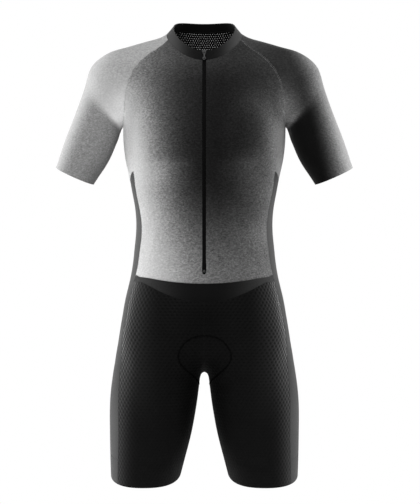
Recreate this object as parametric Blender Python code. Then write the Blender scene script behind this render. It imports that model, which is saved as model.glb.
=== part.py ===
"""Short-sleeved one-piece triathlon suit, standing open in its worn form.

Metres, +Z up. The wearer faces -Y and the wearer's left is +X. The origin is in the middle of
the neck, level with the points where the collar meets the shoulders.

The cloth follows one smooth figure, given by sections. Each cut piece is a sheet of rows laid
over that figure from seam to seam, and the sheet is then given its thickness inwards.
"""
import math

import bmesh
import bpy
import numpy as np

# ---------------------------------------------------------------- driving dimensions
WALL = 0.0015                 # knitted cloth, drawn at a wall that can be built
SEAM_GAP = 0.0003             # between two pieces sewn edge to edge
PAD_THICKNESS = 0.006
PAD_CLEARANCE = 0.0016        # between the pad and the legs that it lies in
TAPE_WALL = 0.0009
CHAIN_WALL = 0.0016

# The figure: one row for each section of the body, from the neck down.
# height, half width, front depth, back depth
TORSO = np.array([
    (0.090, 0.054, 0.038, 0.056),
    (0.040, 0.060, 0.042, 0.064),
    (0.010, 0.067, 0.046, 0.074),
    (-0.030, 0.083, 0.057, 0.088),
    (-0.070, 0.113, 0.076, 0.101),
    (-0.120, 0.146, 0.100, 0.108),
    (-0.180, 0.161, 0.110, 0.110),
    (-0.240, 0.159, 0.111, 0.108),
    (-0.300, 0.147, 0.107, 0.099),
    (-0.350, 0.139, 0.102, 0.090),
    (-0.385, 0.136, 0.099, 0.086),
    (-0.425, 0.139, 0.099, 0.088),
    (-0.480, 0.147, 0.103, 0.098),
    (-0.540, 0.160, 0.107, 0.112),
    (-0.600, 0.1745, 0.107, 0.121),
    (-0.660, 0.180, 0.103, 0.120),
    (-0.720, 0.184, 0.100, 0.115),
])
TORSO_SQUARENESS = 2.3
CROTCH_FLOOR = -0.675
CROTCH_ROUNDING = 0.150

# height, centre out from the middle, half width, front depth, back depth
LEG = np.array([
    (-0.500, 0.0720, 0.0620, 0.068, 0.080),
    (-0.560, 0.0785, 0.0740, 0.084, 0.095),
    (-0.620, 0.0865, 0.0840, 0.095, 0.106),
    (-0.680, 0.0960, 0.0880, 0.096, 0.102),
    (-0.740, 0.1020, 0.0865, 0.090, 0.094),
    (-0.800, 0.1075, 0.0810, 0.083, 0.086),
    (-0.850, 0.1135, 0.0740, 0.077, 0.079),
    (-0.890, 0.1180, 0.0680, 0.072, 0.073),
    (-0.930, 0.1225, 0.0620, 0.067, 0.068),
])
LEG_SQUARENESS = 2.1
LEG_TOP = -0.510
LEG_HALF = 0.072              # half the leg's width at the hem, along its front

# distance up the arm from the cuff, shift outwards, half width, half depth
ARM = np.array([
    (-0.050, 0.000, 0.0385, 0.048),
    (0.000, 0.000, 0.0408, 0.051),
    (0.055, -0.001, 0.0478, 0.055),
    (0.110, 0.001, 0.0492, 0.057),
    (0.160, 0.001, 0.0535, 0.058),
    (0.210, 0.002, 0.0580, 0.059),
])
CUFF_OUT = 0.2590             # middle of the cuff, from the middle of the body
CUFF_HEIGHT = -0.2842
ARM_LEAN = math.radians(24.75)
ARM_TOP = 0.205

# out, height, back, radius of the round ends of the yoke of the shoulder
SHOULDER_END = (0.1650, -0.0940, 0.004, 0.0625)
NECK_END = (0.0620, -0.0470, 0.016, 0.0480)

# Radii that round the hollows where trunk, thighs, arms and shoulders run together.
GROIN_ROUNDING = 0.012
BUTTOCK_ROUNDING = 0.034      # in front and behind, where the thigh runs into the trunk
ARM_ROUNDING = 0.015
ARMPIT_ROUNDING = 0.004
CHEST_ROUNDING = 0.040
NECK_ROUNDING = 0.016

# Seams in the front view: distance out, height.
RAGLAN_FRONT = np.array([(0.0900, -0.0320), (0.1160, -0.0510), (0.1370, -0.0760),
                         (0.1490, -0.1010), (0.1560, -0.1290), (0.1590, -0.1570)])
RAGLAN_BACK = np.array([(0.0800, -0.0150), (0.1080, -0.0400), (0.1330, -0.0700),
                        (0.1480, -0.1000), (0.1560, -0.1300), (0.1590, -0.1570)])
ARMPIT_HEIGHT = -0.1955
ARMPIT_BEHIND = -0.175        # the row of the back panel that ends at the armpit, in its middle

# Side panel: height, how far its edge lies in front of the middle of the side
SIDE_EDGE = np.array([
    (-0.260, 0.042),
    (-0.330, 0.044),
    (-0.390, 0.051),
    (-0.450, 0.050),
    (-0.530, 0.049),
    (-0.590, 0.053),
    (-0.660, 0.058),
    (-0.730, 0.061),
    (-0.830, 0.055),
    (-0.900, 0.047),
])
SIDE_TIP = -0.279             # points of the panel's upper end
SIDE_NOTCH = -0.287           # where the side seam comes down into that end
SIDE_REACH = 0.186            # its middle, out from the middle of the body at the hem
TIP_ROW = -0.283              # the row of front and back that ends at those points, in their middle

WAIST_SIDE = -0.481
WAIST_FRONT = -0.4967
YOKE_SIDE = -0.4885
YOKE_FRONT = -0.5335
WAIST_BACK = -0.4780
WAIST_SAG = -0.036            # dips of the seams in front between their ends, as slopes
YOKE_SAG = -0.040
HEM_BAND_TOP = -0.842
HEM_SIDE = -0.876             # the hem rises at both sides of the leg and dips between them
HEM_EDGE = -0.884
HEM_FRONT = -0.895
HEM_BACK = -0.891
CROTCH_BACK = 0.006           # the seams cross a little behind the middle

# Collar: lower ring on the shoulders and upper edge, each given in front, at the side, behind
# half width, front, back, height in front, height at the side, height behind
COLLAR_LOWER = (0.0760, -0.0750, 0.0700, -0.0635, 0.0000, 0.0130)
COLLAR_UPPER = (0.0620, -0.0625, 0.0620, -0.0430, 0.0130, 0.0320)
RAGLAN_TURN_FRONT = math.radians(71)
RAGLAN_TURN_BACK = math.radians(127)

ZIP_SLOT = 0.0070             # width left between the two front edges
ZIP_END = -0.4760
CHAIN_WIDTH = 0.0050
TAPE_WIDTH = 0.0110

# ---------------------------------------------------------------- cell counts
MAIN_COLUMNS = 8              # from the zip to the side panel
SIDE_COLUMNS = 3              # from there to the middle of the side
ROWS_TO_TIP = 10
ROWS_TO_ARMPIT = 5
ROWS_RAGLAN = 10
SLEEVE_COLUMNS = 18
SLEEVE_TUBE_ROWS = 6
LEG_COLUMNS = MAIN_COLUMNS + 1
ROWS_TO_CROTCH = 10
ROWS_TO_BAND = 9
ROWS_BAND = 2
YOKE_ROWS = 2
COLLAR_SHARES = (0.0, 0.12, 0.5, 1.0)   # heights of its rows
PAD_ROWS = 18
PAD_COLUMNS = 5
FAN = 61                      # rays in one row, before its points are spread
MARCH_EASING = 6              # rounds that smooth a row laid from the one above it
RISE_CROWDING = 1.3           # powers that draw the legs' rows together at the crotch
INSEAM_CROWDING = 1.5
DEEP_INSIDE = 0.10            # out from the middle, inside both the trunk and the thigh
TRUNK_INSIDE = 0.020          # out from the middle, where the rows of the trunk turn about
NECK_INSIDE = np.array([0.0, 0.0, -0.060])
BODY_INSIDE = np.array([0.0, 0.0, -0.300])


# ---------------------------------------------------------------- the figure
def through(table, column, at):
    """Smooth curve through one column of a section table."""
    stations, values = table[:, 0], table[:, column]
    if stations[0] > stations[-1]:
        stations, values = stations[::-1], values[::-1]
    slopes = np.gradient(values, stations)
    i = np.clip(np.searchsorted(stations, at) - 1, 0, len(stations) - 2)
    step = stations[i + 1] - stations[i]
    t = np.clip((at - stations[i]) / step, 0.0, 1.0)
    return ((2 * t**3 - 3 * t**2 + 1) * values[i] + (t**3 - 2 * t**2 + t) * step * slopes[i]
            + (3 * t**2 - 2 * t**3) * values[i + 1] + (t**3 - t**2) * step * slopes[i + 1])


def smooth_min(a, b, radius):
    """The lesser of two distances, rounded where they are alike."""
    near = np.clip(radius - np.abs(a - b), 0.0, None) / radius
    return np.minimum(a, b) - 0.25 * radius * near * near


def ease(at, low, high):
    """Smooth step from 0 at the low end to 1 at the high end."""
    t = np.clip((at - low) / (high - low), 0.0, 1.0)
    return t * t * (3 - 2 * t)


def outside_section(x, y, half, front, back, squareness):
    """Distance outside a rounded section with its own depth in front and behind."""
    depth = np.where(y < 0.0, front, back)
    powers = (np.abs(x) / half) ** squareness + (np.abs(y) / depth) ** squareness
    reach = (powers + 1e-12) ** (1.0 / squareness)
    near_middle = 1.0 - ease(reach, 0.1, 0.8)
    mean = 0.25 * (2 * half + front + back)
    return (reach - 1.0) * (np.hypot(x, y) / reach * (1.0 - near_middle) + mean * near_middle)


def outside_shoulder(x, y, z):
    """Distance outside a round bar from the neck to the shoulder."""
    ax, az, ay, ar = NECK_END
    bx, bz, by, br = SHOULDER_END
    length = math.hypot(bx - ax, bz - az)
    run = np.clip(((x - ax) * (bx - ax) + (z - az) * (bz - az)) / length**2, 0.0, 1.0)
    side = np.hypot(x - ax - run * (bx - ax), z - az - run * (bz - az))
    return np.hypot(side, y - ay - run * (by - ay)) - ar - run * (br - ar)


def figure(p):
    """Distance of points outside the form that the cloth follows; the same on both sides."""
    x, y, z = np.abs(p[..., 0]), p[..., 1], p[..., 2]
    half, front, back = (through(TORSO, column, z) for column in (1, 2, 3))
    body = outside_section(x, y, half, front, back, TORSO_SQUARENESS)
    body = -smooth_min(-body, z - CROTCH_FLOOR, CROTCH_ROUNDING)
    out, half, front, back = (through(LEG, column, z) for column in (1, 2, 3, 4))
    leg = np.maximum(outside_section(x - out, y, half, front, back, LEG_SQUARENESS), z - LEG_TOP)
    away = ease(np.abs(y), 0.025, 0.070)
    body = smooth_min(body, leg, GROIN_ROUNDING + (BUTTOCK_ROUNDING - GROIN_ROUNDING) * away)
    along = (CUFF_OUT - x) * math.sin(ARM_LEAN) + (z - CUFF_HEIGHT) * math.cos(ARM_LEAN)
    across = (x - CUFF_OUT) * math.cos(ARM_LEAN) + (z - CUFF_HEIGHT) * math.sin(ARM_LEAN)
    shift, half, deep = (through(ARM, column, along) for column in (1, 2, 3))
    arm = np.maximum(outside_section(across - shift, y, half, deep, deep, 2.0), along - ARM_TOP)
    arm = smooth_min(arm, outside_shoulder(x, y, z), ARM_ROUNDING)
    rounding = ARMPIT_ROUNDING + (CHEST_ROUNDING - ARMPIT_ROUNDING) * ease(z, -0.195, -0.105)
    return smooth_min(body, arm, rounding + (NECK_ROUNDING - CHEST_ROUNDING) * ease(z, -0.075, -0.015))


def unit(v):
    return v / np.linalg.norm(v, axis=-1, keepdims=True)


def outward(p):
    """Direction straight out of the figure."""
    reach = 0.0006
    slope = [figure(p + reach * axis) - figure(p - reach * axis) for axis in np.eye(3)]
    return unit(np.stack(slope, -1))


def cast(start, heading):
    """Where rays first cross the figure's surface."""
    heading = unit(np.asarray(heading, float))
    start, heading = np.broadcast_arrays(np.asarray(start, float), heading)
    side = np.sign(figure(start))
    far = np.zeros(start.shape[:-1])
    for _ in range(90):
        depth = figure(start + far[..., None] * heading) * side
        far = far + np.where(depth > 0.0, np.maximum(0.7 * depth, 0.0004), 0.0)
    step = 0.0001
    for _ in range(6):
        here = start + far[..., None] * heading
        depth = figure(here)
        slope = (figure(here + step * heading) - depth) / step
        far = far - np.clip(depth / np.where(np.abs(slope) < 0.05, 0.05, slope), -0.001, 0.001)
    return start + far[..., None] * heading


def settle(points):
    """Nearby points brought on to the figure's surface."""
    for _ in range(4):
        points = points - 0.9 * figure(points)[..., None] * outward(points)
    return points


def spread(points, shares):
    """Points at given shares of the length of a finely drawn line (or of each of many)."""
    points = np.asarray(points)
    if points.ndim == 2:
        run = np.concatenate([[0.0], np.cumsum(np.linalg.norm(np.diff(points, axis=0), axis=1))])
        at = np.asarray(shares) * run[-1]
        return np.stack([np.interp(at, run, points[:, k]) for k in range(3)], -1)
    shares = np.broadcast_to(shares, (len(points), np.shape(shares)[-1]))
    return np.stack([spread(line, share) for line, share in zip(points, shares)])


def fan(inside, ahead, aside, start, end, shares, sag=0.0, wrap=False):
    """Rows over the figure, each turning about a point inside it from its start to its end."""
    inside, start, end = (np.atleast_2d(a) for a in (inside, start, end))
    ahead, aside = (np.broadcast_to(a, inside.shape) for a in (ahead, aside))
    up = np.cross(ahead, aside)

    def polar(point):
        a, b, c = (((point - inside) * axis).sum(-1) for axis in (ahead, aside, up))
        return np.arctan2(b, a), c / np.hypot(a, b)

    turn_0, climb_0 = polar(start)
    turn_1, climb_1 = polar(end)
    if wrap:
        turn_0 = turn_0 % (2 * math.pi)
        turn_1 = -((-turn_1) % (2 * math.pi))
    share = np.linspace(0.0, 1.0, FAN)[None, :]
    turn = turn_0[:, None] * (1 - share) + turn_1[:, None] * share
    climb = climb_0[:, None] * (1 - share) + climb_1[:, None] * share
    if wrap:
        start_share, end_share = (1 - share) * (1 - 2 * share), share * (2 * share - 1)
        climb = climb_0[:, None] * start_share + climb_1[:, None] * end_share
    climb = climb + np.reshape(sag, (-1, 1)) * 4 * share * (1 - share)
    heading = (np.cos(turn)[..., None] * ahead[:, None] + np.sin(turn)[..., None] * aside[:, None]
               + climb[..., None] * up[:, None])
    line = cast(inside[:, None, :], heading)
    line[:, 0] = start
    line[:, -1] = end
    return spread(line, shares)


def march(line, start, end):
    """Rows that follow a first row down the figure, each between its own start and end."""
    share = np.linspace(0.0, 1.0, len(line))[:, None]
    rows = [line]
    for k in range(1, len(start)):
        step = (1 - share) * (start[k] - start[k - 1]) + share * (end[k] - end[k - 1])
        line = settle(rows[-1] + step)
        for _ in range(MARCH_EASING):
            line = spread(np.vstack([start[k], line[1:-1], end[k]]), share[:, 0])
            line[1:-1] = settle(0.5 * line[1:-1] + 0.25 * (line[:-2] + line[2:]))
        line[0], line[-1] = start[k], end[k]
        rows.append(line)
    return np.stack(rows)


# ---------------------------------------------------------------- seams, on the wearer's left
def side_point(facing, height):
    """Edge of the side panel at a height; facing is -1 in front and 1 behind."""
    deep = through(SIDE_EDGE, 1, height)
    start = np.stack([np.full_like(deep, DEEP_INSIDE), facing * deep, height], -1)
    return cast(start, (1.0, 0.0, 0.0))


def middle_point(facing, out, height):
    """Point of the trunk straight ahead or behind, at a distance out from the middle."""
    start = np.stack([np.full_like(height, out), np.zeros_like(height), height], -1)
    return cast(start, (0.0, facing, 0.0))


def ring(sizes, turn):
    """Point of a collar ring, turned from the front round to the back."""
    half, front, back, high_front, high_side, high_back = sizes
    level = 0.25 * (high_front + high_back) + 0.5 * high_side
    second = 0.25 * (high_front + high_back) - 0.5 * high_side
    tilt = 0.5 * (high_front - high_back)
    height = level + tilt * np.cos(turn) + second * np.cos(2 * turn)
    middle = 0.5 * (front + back)
    return np.stack([half * np.sin(turn), middle + (front - middle) * np.cos(turn), height], -1)


def neck_seam(turn):
    """The collar's lower ring, let down on to the figure."""
    target = ring(COLLAR_LOWER, turn)
    inside = NECK_INSIDE + 0.35 * (target - NECK_INSIDE)
    return cast(inside, target - inside)


def raglan(facing, table, turn, count):
    """Raglan seam from the armpit up to the neck, as evenly spaced points."""
    armpit = cast((DEEP_INSIDE, 0.0, ARMPIT_HEIGHT), (1.0, 0.0, 0.0))
    neck = neck_seam(np.array([turn]))[0]
    path = np.vstack([(neck[0], neck[2]), table, (armpit[0], armpit[2])])
    run = np.concatenate([[0.0], np.cumsum(np.hypot(*np.diff(path, axis=0).T))])
    fine = np.linspace(0.0, run[-1], 81)
    guide = np.column_stack([run, path])
    x, z = through(guide, 1, fine), through(guide, 2, fine)
    line = cast(np.stack([x, np.zeros_like(x), z], -1), (0.0, facing, 0.0))
    line[0], line[-1] = neck, armpit
    return spread(line[::-1], np.linspace(0.0, 1.0, count + 1))


def side_seam(count):
    """From the notch in the side panel's end up to the armpit."""
    height = np.linspace(SIDE_NOTCH, ARMPIT_HEIGHT, count + 1)
    start = np.stack([np.full_like(height, DEEP_INSIDE), np.zeros_like(height), height], -1)
    return cast(start, (1.0, 0.0, 0.0))


def side_heights():
    """Heights shared by both edges of a side panel, from its tip down to the hem."""
    top = np.linspace(SIDE_TIP, WAIST_SIDE, ROWS_TO_TIP + 1)
    hip = np.linspace(YOKE_SIDE, CROTCH_FLOOR, ROWS_TO_CROTCH + 1)
    thigh = np.linspace(CROTCH_FLOOR, HEM_BAND_TOP, ROWS_TO_BAND + 1)
    band = np.linspace(HEM_BAND_TOP, HEM_EDGE, ROWS_BAND + 1)
    return np.concatenate([top, hip, thigh[1:], band[1:]])


def crotch_seam(facing):
    """Middle seam of the shorts, finely drawn, from the waist to the crotch."""
    middle = np.array([0.0, CROTCH_BACK, -0.600])
    top = middle_point(facing, 0.0, np.array([YOKE_FRONT if facing < 0 else WAIST_BACK]))[0]
    rise = math.atan2(top[2] - middle[2], facing * (top[1] - middle[1]))
    turn = np.linspace(rise, -math.pi / 2, 161)
    heading = np.stack([0 * turn, facing * np.cos(turn), np.sin(turn)], -1)
    line = cast(middle, heading)
    line[0] = top
    return line


def inseam():
    """Inner leg seam, finely drawn, from the crotch to the hem."""
    top = crotch_seam(-1)[-1]
    height = top[2] + (HEM_SIDE - top[2]) * np.linspace(0.0, 1.0, 161) ** 2
    gap = np.stack([0 * height, np.full_like(height, CROTCH_BACK), height], -1)
    line = cast(gap[1:], (1.0, 0.0, 0.0))
    return np.vstack([top, line])


# ---------------------------------------------------------------- making a piece
def material(name, colour, roughness, metallic=0.0):
    """The finish of one piece."""
    made = bpy.data.materials.new(name)
    made.use_nodes = True
    shader = made.node_tree.nodes["Principled BSDF"]
    shader.inputs["Base Color"].default_value = (*colour, 1.0)
    shader.inputs["Roughness"].default_value = roughness
    shader.inputs["Metallic"].default_value = metallic
    made.diffuse_color = (*colour, 1.0)
    return made


def add_object(name, bm, finish, smooth_angle=50):
    """Close a bmesh into a named object of the suit."""
    bmesh.ops.recalc_face_normals(bm, faces=bm.faces)
    mesh = bpy.data.meshes.new(name)
    bm.to_mesh(mesh)
    bm.free()
    mesh.materials.append(finish)
    mesh.shade_smooth()
    mesh.set_sharp_from_angle(angle=math.radians(smooth_angle))
    made = bpy.data.objects.new(name, mesh)
    suit.objects.link(made)
    return made


def sheet(points, missing=None):
    """A grid laid on rows of points; missing(row, column) says which cells are left out."""
    rows, columns = points.shape[:2]
    bm = bmesh.new()
    bmesh.ops.create_grid(bm, x_segments=columns - 1, y_segments=rows - 1, size=0.5)
    bm.verts.index_update()
    for vertex, place in zip(bm.verts, points.reshape(-1, 3)):
        vertex.co = place
    if missing:
        corners = {face: [divmod(vertex.index, columns) for vertex in face.verts] for face in bm.faces}
        gone = [face for face, corner in corners.items()
                if missing(min(row for row, _ in corner), min(column for _, column in corner))]
        bmesh.ops.delete(bm, geom=gone, context="FACES")
    return bm


def trim(bm, by):
    """Draw every open edge of a sheet back into it, so that two pieces leave a seam between them."""
    inward = {}
    for edge in bm.edges:
        if edge.is_boundary:
            along = (edge.verts[1].co - edge.verts[0].co).normalized()
            across = edge.link_faces[0].calc_center_median() - edge.verts[0].co
            across = (across - along * across.dot(along)).normalized()
            for vertex in edge.verts:
                inward.setdefault(vertex, []).append(across)
    for vertex, (first, second) in inward.items():
        vertex.co += (first + second) * (by / max(0.4, 1.0 + first.dot(second)))


def thicken(bm, wall, out_of, lift=0.0):
    """Give a sheet its wall, inwards from the side that shows."""
    def slide(vertices, by):
        places = np.array([vertex.co[:] for vertex in vertices])
        for vertex, place in zip(vertices, places + by * out_of(places)):
            vertex.co = place

    if lift:
        slide(bm.verts[:], lift)
    bmesh.ops.triangulate(bm, faces=bm.faces, quad_method="SHORT_EDGE")
    made = bmesh.ops.extrude_face_region(bm, geom=bm.faces[:], use_keep_orig=True)
    slide([item for item in made["geom"] if isinstance(item, bmesh.types.BMVert)], -wall)
    bmesh.ops.triangulate(bm, faces=bm.faces, quad_method="SHORT_EDGE")


def out_of_rows(points, inside, seam_row=None):
    """Directions out of a surface given by rows, for places on or near those rows.

    A row that is sewn to the figure's own cloth takes its directions from the figure.
    """
    way = unit(np.cross(np.gradient(points, axis=0), np.gradient(points, axis=1)))
    way = way * np.sign(((points - inside) * way).sum(-1, keepdims=True))
    if seam_row is not None:
        way[seam_row] = outward(points[seam_row])
    knots, ways = points.reshape(-1, 3), way.reshape(-1, 3)

    def out_of(places):
        return ways[np.linalg.norm(places[:, None] - knots[None], axis=-1).argmin(axis=1)]
    return out_of


def mirrored(points):
    """The same rows on the wearer's right."""
    return points[:, ::-1] * np.array([-1.0, 1.0, 1.0])


def sewn(name, points, finish, missing=None, out_of=outward, wall=WALL):
    """One cut piece: a sheet over the figure, trimmed at its seams and given its wall."""
    bm = sheet(points, missing)
    trim(bm, SEAM_GAP / 2)
    thicken(bm, wall, out_of)
    return add_object(name, bm, finish)


# ---------------------------------------------------------------- the suit
for old in list(bpy.data.objects):
    bpy.data.objects.remove(old, do_unlink=True)
suit = bpy.data.collections.new("triathlon_suit")
bpy.context.scene.collection.children.link(suit)
helpers = bpy.data.collections.new("joined_shapes")
bpy.context.scene.collection.children.link(helpers)

heather = material("heathered_knit", (0.33, 0.33, 0.34), 0.75)
light_sleeve = material("light_sleeve_knit", (0.55, 0.55, 0.56), 0.70)
dark_sleeve = material("dark_sleeve_knit", (0.05, 0.05, 0.055), 0.70)
mesh_knit = material("open_mesh_knit", (0.03, 0.03, 0.035), 0.80)
side_knit = material("side_knit", (0.08, 0.08, 0.085), 0.65)
yoke_knit = material("smooth_yoke_knit", (0.022, 0.022, 0.025), 0.45)
leg_knit = material("dimpled_leg_knit", (0.014, 0.014, 0.016), 0.55)
collar_knit = material("collar_knit", (0.05, 0.05, 0.055), 0.60)
pad_foam = material("pad_foam", (0.05, 0.05, 0.055), 0.90)
tape_weave = material("zip_tape", (0.010, 0.010, 0.012), 0.75)
chain_coil = material("zip_chain", (0.012, 0.012, 0.014), 0.45)
metal = material("zip_metal", (0.60, 0.60, 0.62), 0.30, 1.0)

AHEAD = {-1: np.array([0.0, -1.0, 0.0]), 1: np.array([0.0, 1.0, 0.0])}
ASIDE = np.array([1.0, 0.0, 0.0])
SLOT = ZIP_SLOT / 2
SLOT_TURN = math.asin(SLOT / COLLAR_LOWER[0])


def neck_turns(first, last, count):
    """Turns round the neck whose points on the neck seam are evenly spaced."""
    turn = np.linspace(first, last, 121)
    run = np.concatenate([[0.0], np.cumsum(np.linalg.norm(np.diff(neck_seam(turn), axis=0), axis=1))])
    return np.interp(np.linspace(0.0, run[-1], count + 1), run, turn)


raglan_seam = {-1: raglan(-1, RAGLAN_FRONT, RAGLAN_TURN_FRONT, ROWS_RAGLAN),
               1: raglan(1, RAGLAN_BACK, RAGLAN_TURN_BACK, ROWS_RAGLAN)}
front_turns = neck_turns(SLOT_TURN, RAGLAN_TURN_FRONT, MAIN_COLUMNS + SIDE_COLUMNS)
sleeve_turns = neck_turns(RAGLAN_TURN_FRONT, RAGLAN_TURN_BACK, SLEEVE_COLUMNS)
back_turns = neck_turns(math.pi, RAGLAN_TURN_BACK, LEG_COLUMNS + SIDE_COLUMNS)


# Front and back of the trunk: half of each, in rows from the waist up to the neck.
def trunk_half(facing, out, heights, columns, sag, turns):
    """Rows from the middle to the side panel, the side seam and then the raglan seam."""
    middle = middle_point(facing, out, heights)
    edge = side_point(facing, side_heights()[:ROWS_TO_TIP + 1][::-1])
    seam = side_seam(ROWS_TO_ARMPIT)
    outer = np.vstack([edge[:-1], seam, raglan_seam[facing][1:]])
    level = (middle[:, 2] + outer[:, 2]) / 2 - 0.010
    inside = np.column_stack([np.full(len(heights), TRUNK_INSIDE), np.zeros(len(heights)), level])
    rows = np.zeros((len(heights), columns + SIDE_COLUMNS + 1, 3))
    whole = np.linspace(0.0, 1.0, columns + 1)
    for row in range(ROWS_TO_TIP + 1):
        bend = sag if row == 0 else 0.0
        laid = fan(inside[row], AHEAD[facing], ASIDE, middle[row], edge[row], whole, bend)[0]
        rows[row, :columns + 1] = laid
        rows[row, columns + 1:] = edge[row]
    part = np.linspace(0.0, 1.0, SIDE_COLUMNS + 1)
    laid = fan(inside[ROWS_TO_TIP], AHEAD[facing], ASIDE, edge[-1], seam[0], part)[0]
    rows[ROWS_TO_TIP, columns:] = laid
    lengths = np.linalg.norm(np.diff(rows[ROWS_TO_TIP], axis=0), axis=1)
    tip_share = lengths[:columns].sum() / lengths.sum()
    even_share = columns / (columns + SIDE_COLUMNS)
    upper = np.arange(ROWS_TO_TIP + 1, len(heights))
    risen = (upper - ROWS_TO_TIP) / (len(heights) - 1 - ROWS_TO_TIP)
    share = (tip_share + (even_share - tip_share) * risen)[:, None]
    shares = np.concatenate([share * whole, share + (1 - share) * part[1:]], axis=1)
    rows[upper] = fan(inside[upper], AHEAD[facing], ASIDE, middle[upper], outer[upper], shares)
    rows[-1] = neck_seam(turns)
    return rows


def below_tip(columns, row, column):
    """Cells of the block that the side panel takes out of a trunk half."""
    return row < ROWS_TO_TIP and column >= columns


neck_front = neck_seam(front_turns[:1])[0]
front_heights = np.concatenate([[WAIST_FRONT], np.linspace(ZIP_END, TIP_ROW, ROWS_TO_TIP),
                                np.linspace(TIP_ROW, ARMPIT_HEIGHT, ROWS_TO_ARMPIT + 1)[1:],
                                np.linspace(ARMPIT_HEIGHT, neck_front[2], ROWS_RAGLAN + 1)[1:]])
front_half = trunk_half(-1, SLOT, front_heights, MAIN_COLUMNS, WAIST_SAG, front_turns)
front_rows = np.concatenate([mirrored(front_half), front_half], axis=1)
half_width = MAIN_COLUMNS + SIDE_COLUMNS


def missing_front(row, column):
    """Cells left out for the zip's slot and the side panels."""
    if column == half_width:
        return row >= 1
    off = column - half_width - 1 if column > half_width else half_width - 1 - column
    return below_tip(MAIN_COLUMNS, row, off)


sewn("front_panel", front_rows, heather, missing_front)

neck_back = neck_seam(back_turns[:1])[0]
back_heights = np.concatenate([np.linspace(WAIST_BACK, TIP_ROW, ROWS_TO_TIP + 1),
                               np.linspace(TIP_ROW, ARMPIT_BEHIND, ROWS_TO_ARMPIT + 1)[1:],
                               np.linspace(ARMPIT_BEHIND, neck_back[2], ROWS_RAGLAN + 1)[1:]])
back_half = trunk_half(1, 0.0, back_heights, LEG_COLUMNS, 0.0, back_turns)
back_rows = np.concatenate([mirrored(back_half), back_half[:, 1:]], axis=1)
back_width = LEG_COLUMNS + SIDE_COLUMNS


def missing_back(row, column):
    """Cells left out for the side panels."""
    off = column - back_width if column >= back_width else back_width - 1 - column
    return below_tip(LEG_COLUMNS, row, off)


sewn("back_panel", back_rows, mesh_knit, missing_back)

# Raglan sleeves: a tube up to the armpit, then over the shoulder to the neck between the raglan seams.
ARM_UP = np.array([-math.sin(ARM_LEAN), 0.0, math.cos(ARM_LEAN)])
CUFF_MIDDLE = np.array([CUFF_OUT, 0.0, CUFF_HEIGHT])
SHOULDER_BEND = np.array([0.165, 0.0, -0.075])
SHOULDER_FOOT = np.array([0.070, 0.004, -0.052])
NECK_TURN = math.radians(97)

armpit = raglan_seam[-1][0]
to_armpit = (armpit - CUFF_MIDDLE) @ ARM_UP
tube = CUFF_MIDDLE + np.linspace(0.0, to_armpit, SLEEVE_TUBE_ROWS + 1)[:, None] * ARM_UP
over = np.linspace(0.0, 1.0, ROWS_RAGLAN + 1)[1:, None]
bend = (1 - over) ** 2 * tube[-1] + 2 * over * (1 - over) * SHOULDER_BEND + over**2 * SHOULDER_FOOT
turning = ARM_LEAN + (NECK_TURN - ARM_LEAN) * over[:, 0]
lean = np.concatenate([np.full(SLEEVE_TUBE_ROWS + 1, ARM_LEAN), turning])
out = np.stack([np.cos(lean), 0 * lean, np.sin(lean)], -1)
underarm = cast(tube[:-1], -out[:SLEEVE_TUBE_ROWS])
before, behind = (np.vstack([underarm, raglan_seam[facing]]) for facing in (-1, 1))
sleeve_rows = fan(np.vstack([tube, bend]), out, AHEAD[-1], before, behind,
                  np.linspace(0.0, 1.0, SLEEVE_COLUMNS + 1), wrap=True)
sleeve_rows[-1] = neck_seam(sleeve_turns)
sewn("sleeve_left", sleeve_rows, dark_sleeve)
sewn("sleeve_right", mirrored(sleeve_rows), light_sleeve)

# Legs of the shorts: a front and a back piece to each, meeting at the middle seam and the inseam.
edge_heights = side_heights()
YOKE_STATION = ROWS_TO_TIP + 1
CROTCH_STATION = YOKE_STATION + ROWS_TO_CROTCH
BAND_STATION = CROTCH_STATION + ROWS_TO_BAND
inner_leg = inseam()


def leg_rows(facing):
    """Rows from the side panel's edge to the middle seam, and then to the inseam."""
    first = YOKE_STATION if facing < 0 else YOKE_STATION - 1
    outer = side_point(facing, edge_heights[first:])
    rise_rows = CROTCH_STATION - first
    from_crotch = 1.0 - np.linspace(1.0, 0.0, rise_rows + 1) ** RISE_CROWDING
    down = np.linspace(0.0, 1.0, ROWS_TO_BAND + ROWS_BAND + 1)[1:] ** INSEAM_CROWDING
    inner = np.vstack([spread(crotch_seam(facing), from_crotch), spread(inner_leg, down)])
    middle = (outer[:, 2] + inner[:, 2]) / 2
    inside = np.column_stack([through(LEG, 1, middle), 0 * middle, middle])
    even = np.linspace(0.0, 1.0, FAN)
    below = np.clip((np.arange(len(outer)) - rise_rows) / (ROWS_TO_BAND + ROWS_BAND), 0.0, 1.0)
    dip = ((HEM_FRONT if facing < 0 else HEM_BACK) - (HEM_EDGE + HEM_SIDE) / 2) / LEG_HALF
    sag = YOKE_SAG if facing < 0 else 0.0
    top = fan(inside[0], AHEAD[facing], ASIDE, outer[0], inner[0], even, sag)[0]
    upper = march(top, outer, inner)
    lower = fan(inside, AHEAD[facing], ASIDE, outer, inner, even, dip * below ** 1.5)
    blend = ease(np.arange(len(outer)), rise_rows + 1.0, rise_rows + 5.0)[:, None, None]
    rows = (1 - blend) * upper + blend * lower
    rows[:, 1:-1] = settle(rows[:, 1:-1])
    near = np.exp(-((np.arange(len(outer)) - rise_rows) / 3.0) ** 2)
    crowd = (1.0 + 0.4 * near)[:, None]
    return spread(rows, 1.0 - (1.0 - np.linspace(0.0, 1.0, LEG_COLUMNS + 1)) ** crowd)


leg_front = leg_rows(-1)
leg_back = leg_rows(1)
leg_back[0] = back_half[0, LEG_COLUMNS::-1]
for hand, turned in (("left", lambda rows: rows), ("right", mirrored)):
    sewn(f"leg_front_{hand}", turned(leg_front), leg_knit)
    sewn(f"leg_back_{hand}", turned(leg_back), leg_knit)


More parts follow.
